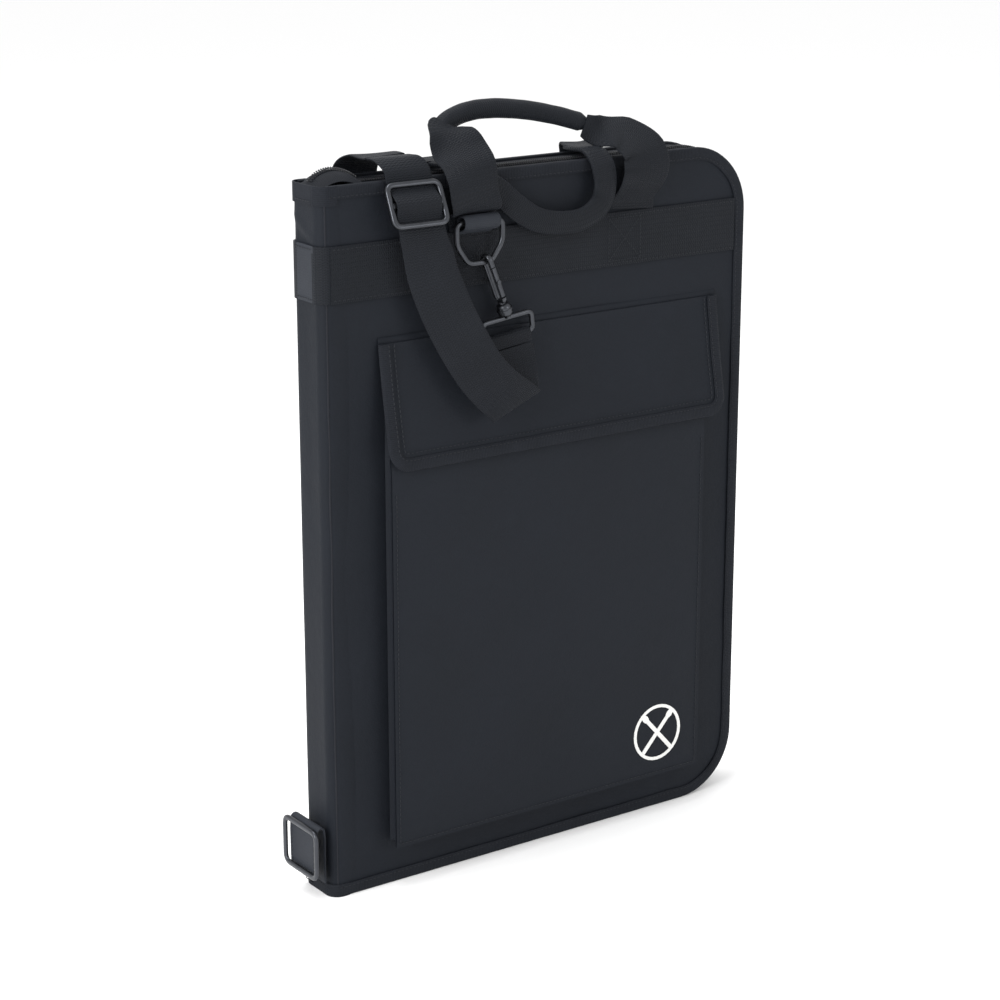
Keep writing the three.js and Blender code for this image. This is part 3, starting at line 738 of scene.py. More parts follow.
# ---- the spine and the folds that join it to the covers ---------------------------------------
SPINE_FLAT = BACK - 1 - FOLD_RADIUS        # half width of the spine's flat middle
FOLD = [(LEFT, SPINE_FLAT - 1.5)]
FOLD += [(x, y) for x, y, _, _ in arc(LEFT + FOLD_RADIUS, SPINE_FLAT, FOLD_RADIUS, 180, -90, 6)]
FOLD += [(LEFT + 13, FACE - 0.15), (LEFT + 18, FACE - 0.5), (LEFT + 23, FACE - 1.4)]


def spine_relief(y, z):
    """Dents and the slanting crease below the spine's top, as a distance outwards."""
    dent = 0.45 * noise.noise(Vector((y / 18, z / 90, 5)))
    line = 480 - (19 - y) * 0.6
    crease = 0.7 * math.exp(-((z - line) / 3.2) ** 2)
    hollow = 0.8 * math.exp(-((z - line + 9) / 7) ** 2)
    near_top = min(1, max(0, (z - 452) / 12))
    return dent - 0.4 + (crease - hollow) * near_top


def spine_panel():
    """The spine's flat middle."""
    part = surface(span(SPINE_FLAT, -SPINE_FLAT, 16), span(3.6, 496.4, 160),
                   lambda y, z: (LEFT - spine_relief(y, z), y, z), (1, 2))
    return thicken(part, 1.0, (0, 0, 250))


def fold_strip(side, z0, z1, lift, thickness, steps, reach=len(FOLD)):
    """Soft edge between the spine and a cover, from height z0 to z1, lifted off the fabric under it."""
    rows = []
    for z in span(z0, z1, steps):
        row = []
        for i, (x, y) in enumerate(FOLD[:reach]):
            before, after = FOLD[max(i - 1, 0)], FOLD[min(i + 1, len(FOLD) - 1)]
            out = Vector((-(after[1] - before[1]), after[0] - before[0])).normalized()
            fade = max(0, 1 - i / 7)
            rise = lift + fade * spine_relief(side * y, z) * (1 if lift == 0 else 0.4)
            row.append(Vector((x + out.x * rise, side * (y + out.y * rise), z)))
        rows.append(row)
    return thicken(grid(rows), thickness, (LEFT + 15, 0, (z0 + z1) / 2))


def join_fold(piece, side):
    """A fold's placement is baked into its mesh."""
    if side < 0:
        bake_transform(piece)
    else:
        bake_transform(piece)


make("spine_canvas", spine_panel(), CANVAS, "spine", ["spine_shell"])
for word, side in (("rear", 1), ("front", -1)):
    join_fold(make(f"{word}_fold", fold_strip(side, 3.6, 496.4, 0.0, 1.0, 160), CANVAS, None), side)
    for name, z0, z1, lift, steps, look in (("band", BAND_LOW, BAND_HIGH, 1.25, 16, WEBBING),
                                            ("top_binding", 487, 499.9, 1.1, 8, EDGING),
                                            ("low_binding", 0.1, 9.3, 1.1, 8, EDGING)):
        strip = fold_strip(side, z0, z1, lift, 1.2, steps, 9)
        join_fold(make(f"{word}_fold_{name}", strip, look, None), side)


def spine_strip(z0, z1, lift):
    """Web or binding across the spine, from height z0 to z1."""
    half = SPINE_FLAT + 0.5
    part = surface(span(half, -half, 12), span(z0, z1, 8),
                   lambda y, z: (LEFT - lift - 0.4 * spine_relief(y, z), y, z), (2, 1))
    return thicken(part, 1.2, (0, 0, 250))


make("spine_web_band", spine_strip(BAND_LOW, BAND_HIGH, 1.25), SMOOTH_WEBBING, "spine", ["spine_band"])
make("spine_top_binding", spine_strip(487, 499.9, 1.1), EDGING, "spine")
make("spine_low_binding", spine_strip(0.1, 9.3, 1.1), EDGING, "spine")
sewing = Part()
for height in (BAND_LOW + 2.4, BAND_HIGH - 2.4, 489.5, 7.4):
    sewing.add(stitches(*straight((-181.35, 10, height), (-181.35, -10, height), (-1, 0, 0)), 3.2))
make("spine_stitches", sewing, THREAD, "spine")


def spine_inside():
    """The spine's lining."""
    part = surface(span(18.5, -18.5, 12), span(4, HEIGHT - 4, 60),
                   lambda y, z: (-175.3 + 0.5 * noise.noise(Vector((y / 12, z / 40, 2))), y, z), (1, 2))
    return thicken(part, 0.8, (-190, 0, 250))


make("spine_inner_lining", spine_inside(), LINING, "spine", ["spine_lining"])

# Closed ends of the zip: a hump of coil and tape over the spine's top, and a run round its foot.
HUMP = [(-177, 501.6), (-171, 507), (-160, 509.5), (-149, 507), (-140, 501.8)]
HUMP = [Vector((x, 0, z)) for x, z in HUMP]


def along_curve(points, steps):
    """(x, z, nx, nz) along a curve in a plane of constant y."""
    path = []
    for t in span(0, 1, steps):
        here, ahead = curve_at(points, t, 0.01)
        path.append((here.x, here.z, -ahead.z, ahead.x))
    return path


hump_path = along_curve(HUMP, 14)
hump = zip_coil(1, hump_path).add(zip_coil(-1, hump_path))
make("zip_top_coil", hump, ZIP_COIL, "spine", ["zip_end_top"])
HUMP_TAPE = ((-13, 8.5), (-9, 5.2), (-4, 3.2), (0, 2.9), (4, 3.2), (9, 5.2), (13, 8.5))
rows = [[Vector((x, y, max(z - drop, 497.5))) for y, drop in HUMP_TAPE] for x, z, _, _ in hump_path]
make("zip_top_tape", thicken(grid(rows), 0.6), ZIP_TAPE, "spine")

FOOT = [(-181.6, 13, 36), (-181.6, 12.4, 12), (-181.7, 12, 4.6), (-179.4, 10, 1.7), (-165, 3, 1.6)]
foot_frames = stations(FOOT, 60, turn=90)
foot = Part()
for sign in (-1, 1):
    rows = []
    turn = 0.0
    for (c0, across, out, _), (c1, _, _, _) in zip(foot_frames, foot_frames[1:]):
        count = max(1, round((c1 - c0).length * 4.2))
        ahead = (c1 - c0).normalized()
        for i in range(count):
            turn += 2 * math.pi * (c1 - c0).length / count / COIL_PITCH
            centre = c0.lerp(c1, i / count) + across * sign * 1.7
            spoke = across * (-sign * math.cos(turn) * 1.3) + out * math.sin(turn) * 0.6
            rows.append(thread_ring(centre + spoke, spoke.normalized(), ahead, 0.36))
    foot.add(grid(rows, wrap=True, caps=True))
make("zip_foot_coil", foot, ZIP_COIL, "spine", ["zip_end_bottom"])

# ---- the strap's lower anchor on the spine's foot ---------------------------------------------
ANCHOR_Y = 1.5
LOOP_OUT, LOOP_IN = -191.6, -183.6


def anchor_web():
    """Web folded over the frame's bar: up the spine, over the top, and down on the outside."""
    inner, outer = LOOP_IN - 0.8, LOOP_OUT + 0.8
    profile = [(inner, 12), (inner, 30), (inner, 48), (inner - 0.8, 52.6), (inner - 3.2, 53.9),
               (outer + 0.9, 52.6), (outer, 48), (outer - 0.2, 34), (outer, 16)]
    profile = [Vector((x, 0, z)) for x, z in profile]
    return webbing(folded(profile, Vector((0, ANCHOR_Y, 0)), Vector((0, 1, 0)), STRAP), 1.5)


make("anchor_web", anchor_web(), SMOOTH_WEBBING, "spine", ["anchor_loop"])
sewing = Part()
for y0, z0, y1, z1 in ((-13, 20, -13, 50), (16, 20, 16, 50), (-13, 20, 16, 20), (-13, 50, 16, 50)):
    sewing.add(stitches(*straight((LOOP_OUT - 0.15, y0, z0), (LOOP_OUT - 0.15, y1, z1), (-1, 0, 0)), 3.0))
make("anchor_stitches", sewing, THREAD, "spine")
corners = [(-193.5, ANCHOR_Y + y, 35 + z) for y, z in ((-21, -17), (21, -17), (21, 17), (-21, 17))]
make("anchor_ring", rod(fillet(corners, 6), 2.0, 1.45, (1, 0, 0)), HARDWARE, "anchor_frame", ["anchor_frame"])


# ---- the front pocket and its flap ------------------------------------------------------------
def pocket_y(z):
    """The pocket's front is flat and lies back towards its mouth."""
    t = min(max((z - 292) / 58, 0), 1)
    return POCKET["y"] + 7.4 * t * t * (1.6 - 0.6 * t)


def pocket():
    """Bellows pocket: a crowned front with a sewn edge, and sides that fold in under it."""
    left, right, low, high = POCKET["left"], POCKET["right"], POCKET["low"], POCKET["mouth"]
    columns, rows = 56, 64

    def point(x, z):
        edge = min(x - left, right - x, z - low)
        crown = 0.9 * (1 - math.exp(-edge / 14))
        ridge = 0.35 * math.exp(-((edge - 1) / 1.4) ** 2)
        wave = 0.9 * relief(x, z, 21) * (1 - math.exp(-edge / 25))
        return x, pocket_y(z) + 0.55 - crown - ridge + wave, z

    part = surface(span(left, right, columns), span(low, high, rows), point, (0, 2))
    width = columns + 1
    loop = [j * width for j in range(rows, -1, -1)]
    loop += list(range(1, width))
    loop += [j * width + columns for j in range(1, rows + 1)]
    ring = loop
    for inset, share in ((0.6, 0.12), (3.4, 0.2), (4.6, 0.45), (5.2, 0.6), (4.4, 0.8), (2.2, 0.98)):
        points, uvs = [], []
        for index in loop:
            p = part.points[index]
            u, v = part.uvs[index]
            y = pocket_y(p.z) * (1 - share) - 19.6 * share
            x = min(max(p.x, left + inset), right - inset)
            z = max(p.z, low + inset)
            pleat = 0.5 * noise.noise(Vector((x / 25, y, z / 25)))
            points.append(Vector((x, y + pleat * 0.4, z + (pleat if p.z < low + 1 else 0))))
            uvs.append((u + (y + 32) * MM, v))
        ring = add_ring(part, ring, points, uvs)
    return thicken(part, 1.1, (0, 0, 200))


make("pocket_body", pocket(), CANVAS, "front_cover", ["pocket_panel", "pocket_bellows"])
pl, pr, pz, pm, py = (POCKET[k] for k in ("left", "right", "low", "mouth", "y"))
sewing = stitches(*straight((pl + 3, py - 0.1, pz + 3), (pr - 3, py - 0.1, pz + 3), (0, -1, 0), 90))
for x in (pl + 3, pr - 3):
    sewing.add(stitches(*straight((x, py - 0.1, pz + 3), (x, py - 0.1, 290), (0, -1, 0), 90)))
make("pocket_stitches", sewing, THREAD, "front_cover")


def hem():
    """Binding folded over the pocket's mouth."""
    section = [(-1.35, -10), (-1.5, -9), (-1.6, -4), (-1.3, -0.5), (0, 0.9), (1.3, 1.0), (2.1, 0), (2.2, -5),
               (2.0, -10), (1.3, -9.5), (1.2, -1.5), (-0.4, -1.5)]
    rows = []
    for x in span(pl + 8, pr - 8, 60):
        sag = 0.4 * noise.noise(Vector((x / 30, 0, 4)))
        rows.append([Vector((x, pocket_y(pm + z) + 0.5 + y * 0.8, pm + z + sag)) for y, z in section])
    return grid(rows, wrap=True, caps=True)


make("pocket_mouth_binding", hem(), EDGING, "front_cover", ["pocket_hem"])


def flap_y(z):
    """Where the flap's middle lies: against the cover at its seam, slanting out to its foot."""
    t = max((FLAP["top"] - 4 - z) / (FLAP["top"] - 4 - FLAP["low"]), 0)
    return -21.2 + (FLAP["y"] + 21.2) * (t - 0.06 * math.sin(math.pi * min(t, 1)))


def flap_skin():
    """The flap's fabric, with its two lower corners rounded, drawn in under its binding."""
    margin = 1.5
    left, right, low = FLAP["left"] + margin, FLAP["right"] - margin, FLAP["low"] + margin
    radius = 16 - margin

    def point(share, rise):
        z = low + (FLAP["top"] - low) * rise ** 1.25
        depth = max(low + radius - z, 0)
        inset = radius - math.sqrt(max(radius * radius - depth * depth, 0))
        x = left + inset + (right - left - 2 * inset) * share
        soft = 0.8 * relief(x, z, 31) * min(1, (FLAP["top"] - z) / 30)
        return x, flap_y(z) + 0.25 * soft, z

    return thicken(surface(span(0, 1, 56), span(0, 1, 34), point, (0, 2)), 1.2, (0, 0, 350))


make("flap_skin", flap_skin(), CANVAS, "pocket_flap", ["flap_panel"])


def flap_edge_path():
    """Points down the flap's left edge, along its foot and up the right edge, with outward normals."""
    left, right, low, top = (FLAP[k] for k in ("left", "right", "low", "top"))
    radius = 15
    path = [(left, z, -1, 0) for z in span(top, low + radius, 24)[:-1]]
    path += arc(left + radius, low + radius, radius, 180, 90, 12)
    path += [(x, low, 0, -1) for x in span(left + radius, right - radius, 60)[1:-1]]
    path += arc(right - radius, low + radius, radius, 270, 90, 12)
    path += [(right, z, 1, 0) for z in span(low + radius, top, 24)[1:]]
    return path


def flap_tape():
    """Binding folded over the flap's edge. Its inner edge wanders a little."""
    section = [(-9, 0.8), (-8.7, 1.35), (-6, 1.65), (-2.5, 1.6), (-0.6, 1.1), (0, 0), (-0.6, -1.1),
               (-2.5, -1.6),
               (-6, -1.6), (-9, -1.3), (-9, -0.7), (-2, -0.75), (-2, 0.75)]
    rows = []
    for x, z, nx, nz in flap_edge_path():
        wander = 0.4 * noise.noise(Vector((x / 20, 3, z / 20)))
        row = []
        for n, proud in section:
            inset = n + (wander if n < -8 else 0)
            height = z + nz * inset
            row.append(Vector((x + nx * inset, flap_y(height) - proud, height)))
        rows.append(row)
    return grid(rows, wrap=True, caps=True)


make("flap_edge_binding", flap_tape(), EDGING, "pocket_flap", ["flap_binding"])
sewing = Part()
for inset, proud, pitch in ((7.4, 1.62, 3.2), (12, 0.95, 3.4)):
    seam = [(x - inset * nx, z - inset * nz) for x, z, nx, nz in flap_edge_path()]
    seam = [Vector((x, flap_y(z) - proud, z)) for x, z in seam]
    sewing.add(stitches(seam, [Vector((0, -1, 0))] * len(seam), pitch))
make("flap_stitches", sewing, THREAD, "pocket_flap")


def seam_roll():
    """Turned-over seam along the flap's top, sewn to the cover."""
    section = [(-18.9, 395.4), (-19.4, 395), (-19.7, 393.5), (-20.0, 392), (-19.8, 390.6), (-18.9, 390.6)]
    rows = []
    for x in span(FLAP["left"] + 1, FLAP["right"] - 1, 60):
        lift = 0.3 * noise.noise(Vector((x / 22, 1, 8)))
        rows.append([Vector((x, y + lift * (y < -20), z)) for y, z in section])
    return grid(rows, wrap=True, caps=True)


make("flap_seam", seam_roll(), CANVAS, "front_cover", ["flap_seam_tape"])


def patch(height_y, gap, out, seed):
    """Hook-and-loop tape with a softly uneven pile, lying off a surface whose y is a function of height."""
    half, low, high = 60, 314, 336

    def point(x, z):
        edge = min(x + half, half - x, z - low, high - z)
        pile = 0.45 * min(1, edge / 2) + 0.08 * noise.noise(Vector((x, seed, z)) / 3)
        return x, height_y(z) + gap + out * pile, z

    return thicken(surface(span(-half, half, 30), span(low, high, 8), point), 0.5, (0, -100 * out, 325))


make("pocket_patch", patch(pocket_y, -0.75, -1, 1), FUZZ, "front_cover", ["pocket_loop_patch"])
make("flap_patch", patch(flap_y, 1.2, 1, 2), FUZZ, "pocket_flap", ["flap_hook_patch"])


# ---- handles ----------------------------------------------------------------------------------
LEG_Y = FACE + 0.4 + WEB_T / 2
LEG_FOOT = BAND_HIGH + 1.4
LEGS = {
    "front_handle_leg_left": [
        [-61, -LEG_Y, LEG_FOOT], [-61.2, -LEG_Y - 0.3, 466], [-62.5, -22.4, 471.6],
        [-64.5, -30.4, 476.4], [-67.5, -32.5, 487], [-68.5, -32, 497, 38, -4, 2],
        [-69.5, -28.5, 507, 38, -14, 3], [-71.5, -19.5, 516, 38, -28, -4], [-74.5, -12, 525, 32, -26, -14],
        [-75, -6, 529.5, 22, -20, -16], [-72, -3.5, 531.5, 14, -10, -10]],
    "front_handle_leg_right": [
        [75, -LEG_Y, LEG_FOOT], [75.4, -LEG_Y - 0.5, 468], [77.5, -29, 480],
        [79, -32, 492, 38, -3, 0], [77.5, -29, 504.5, 36, -6, 4], [67, -19, 515, 30, -8, 10],
        [51, -10.5, 517.5, 22, -8, 22], [41, -9, 521.5, 16, -8, 32]],
    "rear_handle_leg_left": [
        [-77, LEG_Y, LEG_FOOT], [-77, LEG_Y + 0.8, 484], [-77, LEG_Y + 1.4, 499, 34],
        [-76, 18.5, 505, 30], [-74, 10, 505.6, 24], [-73, 3, 505.2, 21]],
    "rear_handle_leg_right": [
        [62, LEG_Y, LEG_FOOT], [62, LEG_Y + 1.2, 482], [60, LEG_Y + 2, 498, 34],
        [57, 18.5, 505, 29], [52, 10, 505.4, 26], [49, 2, 505.2, 24]],
}
for name, points in LEGS.items():
    word = name.split("_")[0]
    ribbon = webbing(stations(points, 48), 1.5, 0.3)
    leg = make(name.replace("handle_leg", "leg"), ribbon, WEBBING, None, [name])
    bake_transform(leg)

FRONT_GRIP = [(-76, -1.5, 525), (-73, 0, 528), (-64, 2, 533), (-46, 3, 537.5), (-18, 2, 537), (12, 0, 532),
              (34, -3, 526), (45, -5.8, 522.5)]
REAR_GRIP = [
    [-73.5, 9.5, 504.2, 20], [-71, -6, 504.2, 20], [-69, -18, 504.4, 20],
    [-66.5, -24, 500, 20, 180, -12], [-60, -25.4, 494, 20, 180, -40], [-44, -24.4, 487, 17, 180, -62],
    [-31, -25.8, 475.5, 18, 180, -68], [-13, -27.6, 463.8, 17, 180, -82], [10, -28.2, 459.6, 16, 180, -91],
    [29, -28, 461.5, 16, 180, -104], [42.5, -27.8, 470.5, 18, 180, -132], [46, -27.2, 484, 19, 180, -162],
    [44.5, -25.2, 497.5, 20, 180, -176], [43, -18.4, 504.8, 20, 180, -178], [44.5, -4, 504.8, 20, 180, -180],
    [49.5, 7.5, 504.2, 24, 180, -180]]


def grip(points, radius, seed):
    """Webbing rolled and sewn into a grip: a flattened roll with the sewn lap running along it."""
    points = [Vector(p) for p in points]
    rows = []
    for t in span(0, 1, 72):
        centre, ahead = curve_at(points, t, 0.004)
        across = (Vector((0, 1, 0)) - ahead * ahead.y).normalized()
        up = ahead.cross(across)
        taper = min(1, 0.55 + 6 * min(t, 1 - t))
        ring = []
        for angle in span(0, 2 * math.pi, 24)[:-1]:
            lap = 0.9 * math.exp(-((angle - 4.4) / 0.35) ** 2)
            uneven = 0.93 + 0.05 * noise.noise(centre / 11 + Vector((0, seed, angle)))
            size = radius * taper * uneven + lap
            ring.append(centre + across * math.cos(angle) * size * 0.98 + up * math.sin(angle) * size)
        rows.append(ring)
    return grid(rows, wrap=True, caps=True)


make("front_grip_roll", grip(FRONT_GRIP, 6.7, 7), WEBBING, "front_handle", ["front_handle_grip"])


FOLDED_EDGE = ((-1, 0.15), (-0.96, 0.55), (-0.8, 0.9), (-0.4, 1), (0, 1), (0.4, 0.95), (0.7, 0.8),
               (0.76, 0.6), (0.95, 0.55), (1, 0.2))


def folded_web(frames, thickness):
    """Webbing folded double and sewn along its open edge: thick at the fold and thin at the lap."""
    rows = []
    for centre, across, out, width in frames:
        section = [(f * width / 2, h * thickness / 2) for f, h in FOLDED_EDGE]
        section += [(a, -b) for a, b in reversed(section)]
        sway = 0.35 * noise.noise(centre / 14)
        rows.append([centre + across * a + out * (b + sway) for a, b in section])
    return grid(rows, wrap=True, caps=True)


rear_frames = stations(REAR_GRIP, 130, turn=180)
make("rear_grip_web", folded_web(rear_frames, 4.2), WEBBING, "rear_handle", ["rear_handle_grip"])
lap_frames = rear_frames[20:112]
lap = [centre + across * width * 0.43 + out * 1.25 for centre, across, out, width in lap_frames]
make("rear_grip_stitches", stitches(lap, [f[2] for f in lap_frames], 3.0), THREAD, "rear_handle")

# ---- D-ring, snap hook and slider -------------------------------------------------------------
RING_Y, RING_MID, RING_TOP = -28.6, -61, 469
ring_corners = [(-18.7, 467.2), (18.7, 467.2), (18.7, 452.6), (9.3, 439.3), (-9.3, 439.3), (-18.7, 452.6)]
ring_path = fillet([(RING_MID + x, RING_Y, z) for x, z in ring_corners], 4.5)
make("front_dring_wire", rod(ring_path, 1.8, 1.75, (0, 1, 0)), HARDWARE, "front_dring", ["front_dring"])


def dring_tab():
    """Web folded round the ring's top bar and sewn flat to the band."""
    profile = [(-21.9, 459.5), (-24.5, 461.4), (-29.5, 462.6), (-32.4, 464.8), (-33.0, 468),
               (-31.2, 471.2), (-27.5, 471.8), (-24.2, 470.4), (-22.6, 466), (-22.4, 461)]
    profile = [Vector((0, y, z)) for y, z in profile]
    return webbing(folded(profile, Vector((RING_MID, 0, 0)), Vector((1, 0, 0)), 29), 1.5)


make("dring_web_tab", dring_tab(), SMOOTH_WEBBING, "front_cover", ["front_dring_tab"])

HOOK = Matrix.Translation((RING_MID + 6.5, RING_Y, 439.3)) @ Matrix.Rotation(math.radians(-22), 4, "Y")
hook_path = [(0, -4.1, -3.4), (0, -4.1, 3.4), (0, 0, 5.2), (0, 4.1, 3.4), (0, 4.1, -27), (0, 3.2, -30.4),
             (0, -3.2, -30.4), (0, -4.1, -26.8)]
hook = rod(fillet(hook_path, 3.2, closed=False), 1.45, 1.9, (1, 0, 0), closed=False)
hook.add(lathe([(0, 0), (2.2, 0), (2.6, 0.8), (2.6, 2.2), (1.8, 3)], (0, 0, -30.6), (0, 0, -1)))
make("snap_hook_body", hook.moved(HOOK), HARDWARE, "snap_hook", ["hook_body"])
gate_path = fillet([(0, -4.4, -26), (0, -4.4, -15), (0, -4.4, -4)], 2, closed=False)
gate = rod(gate_path, 1.1, 1.7, (1, 0, 0), closed=False)
gate.add(lathe([(0, 0), (1.5, 0.2), (1.7, 0.8), (1.5, 1.5), (0, 1.7)], (0, -4.4, -15), (0, -1, 0)))
make("snap_hook_gate", gate.moved(HOOK), HARDWARE, "hook_gate", ["hook_gate"])
skew = Matrix.Translation((0, 0, -41)) @ Matrix.Rotation(math.radians(15), 4, "Y")
eye_corners = [(-20.7, 0, -15.7), (20.7, 0, -15.7), (20.7, 0, -2.3), (-20.7, 0, -2.3)]
eye = rod(fillet(eye_corners, 4), 1.75, 1.65, (0, 1, 0)).moved(skew)
barrel = [(2.6, 0), (3.9, 0.3), (4.7, 1.6), (5, 3), (5, 7), (4.6, 8.2), (3.4, 9), (3.0, 10.5)]
eye.add(lathe(barrel, (0, 0, -32.5), (0, 0, -1)))
eye.add(lathe([(3.2, 0), (5.4, 0.2), (5.6, 1), (5.4, 1.8), (3.2, 2)], (0, 0, -36.2), (0, 0, -1)))
make("snap_hook_eye", eye.moved(HOOK), HARDWARE, "hook_eye", ["hook_swivel_eye"])

SLIDER = Matrix.Translation((-113, -31.8, 484.5)) @ Matrix.Rotation(math.radians(-24), 4, "X")
slider_corners = [(-20.5, 0, -14.1), (20.5, 0, -14.1), (20.5, 0, 14.1), (-20.5, 0, 14.1)]
slider = rod(fillet(slider_corners, 5.5), 1.95, 1.75, (0, 1, 0))
slider.add(rod([Vector((x, 0, 0)) for x in (-20, -10, 0, 10, 20)], 2.1, 1.5, (0, 1, 0), closed=False))
make("slider_frame", slider.moved(SLIDER), HARDWARE, "strap_slider", ["strap_slider"])

# ---- shoulder strap ---------------------------------------------------------------------------
FRONT_STRAP = [
    [-119, -4, 513, STRAP, -6, 0], [-117, -14, 512.5, STRAP, -4, 0], [-114.5, -20.8, 507],
    [-113, -22.6, 499], [-112, -28.6, 482], [-111, -33.8, 470],
    [-109.6, -34.9, 461, STRAP, -3, 1], [-107, -35.4, 452, STRAP, -10, 3], [-104, -36, 438, STRAP, -14, 9],
    [-94, -38.5, 411, STRAP, -18, 28], [-83, -42, 388, STRAP, -18, 31], [-71, -45, 368, STRAP, -14, 36],
    [-59, -47.2, 354.5, 37, -8, 37], [-49, -48, 346.3, 40, -2, 30], [-43.3, -47.2, 341.3, 43, 0, 23],
    [-42.6, -44.8, 341.4, 43, 0, 22.5], [-41.8, -43.2, 346, 41, 0, 17], [-39.6, -41.4, 357, 36.6, 0, 9],
    [-37.3, -34.6, 371, STRAP, 0, 7], [-37.8, -32.5, 378.5, STRAP, 0, 7]]
REAR_STRAP = [
    [-119.3, -3, 513, STRAP, -6, 0], [-122, 12, 512.5, STRAP, -6, 0], [-125, 23.6, 505],
    [-127, 25.5, 480], [-128, 26, 430], [-128, 27, 320],
    [-129, 26.5, 200], [-131, 24, 110], [-132, 21.4, 70],
    [-132, 20.9, 34]]
front_frames = stations(FRONT_STRAP, 190, STRAP, square=False)
split = next(k for k, f in enumerate(front_frames) if f[0].z < 431)
upper = make("strap_front_upper", webbing(front_frames[:split + 1], 1.5, ripple=0.3), WEBBING, None,
             ["shoulder_strap_front"])
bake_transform(upper)
lower = make("strap_front_bight", webbing(front_frames[split:], 1.5, ripple=0.3), WEBBING, None)
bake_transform(lower)
rear_frames = stations(REAR_STRAP, 132, STRAP)
top = next(k for k, f in enumerate(rear_frames) if f[0].z < 500)
over = make("strap_over_top", webbing(rear_frames[:top + 1], 1.5), WEBBING, None, ["shoulder_strap_rear"])
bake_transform(over)
down = make("strap_rear_length", webbing(rear_frames[top:], 1.5, ripple=0.4), WEBBING, None)
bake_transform(down)
make("strap_end_stitches", crossed_box(-145, -119, 38, 62, 21.9, 1, 2.8, 2.3), THREAD, "rear_cover")
cross = [[0, 2.2, 13.2], [0, 0.6, 8.4], [0, -2.6, 2.6], [0, -3.1, 0], [0, -2.6, -2.6], [0, 0.6, -8.4],
         [0, 2.0, -13.2]]
make("slider_web", webbing(stations(cross, 36, 35), 1.4).moved(SLIDER), WEBBING, "strap_slider")


# The strap's end goes round the eye's bar and back on itself.
loop = [[0, -3.4, -22], [0, -3.0, -18], [0, -2.4, -14.2], [0, 0.2, -12.8], [0, 2.6, -14.4], [0, 2.4, -18.5],
        [0, 0.4, -24]]
make("eye_web_loop", webbing(stations(loop, 36, 34), 1.4).moved(HOOK @ skew), WEBBING, "hook_eye")


# ---- zip sliders ------------------------------------------------------------------------------
def zip_slider(z):
    """Slider body: two plates joined by a post, with shoulders and a bridge for the pull."""
    out = RIGHT + 0.85
    outline = [(-4.3, -6.8), (4.3, -6.8), (3.6, 4.5), (1.8, 7), (-1.8, 7), (-3.6, 4.5)]
    outline = fillet([(0, y, h) for y, h in outline], 2)
    part = Part()
    for x, thick, size in ((out, 0.8, 1.0), (RIGHT - 4.4, 0.5, 0.95)):
        rows = []
        for depth, scale in ((-thick, 0.86), (-thick * 0.5, 1), (thick * 0.5, 1), (thick, 0.86)):
            rows.append([Vector((x + depth, p.y * size * scale, z + p.z * size * scale)) for p in outline])
        part.add(grid(rows, wrap=True, caps=True))
    bridge = [(out + 0.6, 0, z - 3.5), (out + 2.6, 0, z - 2), (out + 2.8, 0, z + 2), (out + 0.6, 0, z + 4.5)]
    part.add(rod(fillet(bridge, 1.8, closed=False), 0.7, 1.5, (0, 1, 0), closed=False))
    post = [Vector((x, 0, z + 4)) for x in (RIGHT - 4.4, out)]
    part.add(rod(post, 1.2, 0.3, (0, 1, 0), closed=False))
    return part


def zip_pull(z):
    """Pull hanging from its bridge: a pierced tab with a thicker rim."""
    x = RIGHT + 2.9
    rim = fillet([(x, -2.2, z - 0.6), (x, 2.2, z - 0.6), (x, 3.1, z - 21), (x, -3.1, z - 21)], 2)
    part = rod(rim, 0.9, 0.75, (1, 0, 0))
    tab = ((-2.2, -6), (2.2, -6), (2.9, -20.5), (-2.9, -20.5))
    rows = [[Vector((x + depth, y, z + h)) for y, h in tab] for depth in (-0.4, 0.4)]
    return part.add(grid(rows, wrap=True, caps=True))


for word in ("upper", "lower"):
    low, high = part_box(f"zip_slider_{word}")
    z = (low.z + high.z) / 2 / MM
    make(f"zip_slider_{word}_body", zip_slider(z), ZIP_METAL, f"zip_slider_{word}", [f"zip_slider_{word}"])
    make(f"zip_pull_{word}_tab", zip_pull(z), ZIP_METAL, f"zip_pull_{word}", [f"zip_pull_{word}"])


# ---- inside pockets ---------------------------------------------------------------------------
CHANNEL_STEPS = 14
HEM = ((-1, -11), (-1, -1), (-0.6, 0.3), (0.6, 0.3), (1.6, -1), (1.6, -11))


def channels(x0, x1, back, front, z0, z1, count):
    """Sewn pocket lying on a cover: each channel swells between its seams and closes at the foot."""
    pitch = (x1 - x0) / count

    def point(x, z):
        phase = ((x - x0) % pitch) / pitch
        swell = math.sin(math.pi * phase) ** 0.45 if 0 < phase < 1 else 0
        foot = min(1, (z - z0) / 10) ** 0.5
        soft = 0.9 + 0.1 * noise.noise(Vector((x / 20, z / 45, count)))
        return x, back + (front - back) * (0.12 + 0.86 * swell * foot * soft), z

    return surface(span(x0, x1, count * CHANNEL_STEPS), span(z0, z1, 40), point)


def inner_pocket(name, node, body, look, x0, x1, back, front, z0, z1, count):
    """Pocket inside a cover, with a tape folded over its mouth."""
    part = channels(x0, x1, back, front, z0, z1, count)
    inward = 1 if front < back else -1
    make(name, thicken(part, 0.8 * inward), look, body, [node])
    mouth = part.points[-(count * CHANNEL_STEPS + 1):]
    rows = [[p + Vector((0, 0.77 * y, z)) for y, z in HEM] for p in mouth]
    make(name + "_hem", grid(rows, wrap=True, caps=True), EDGING, body)


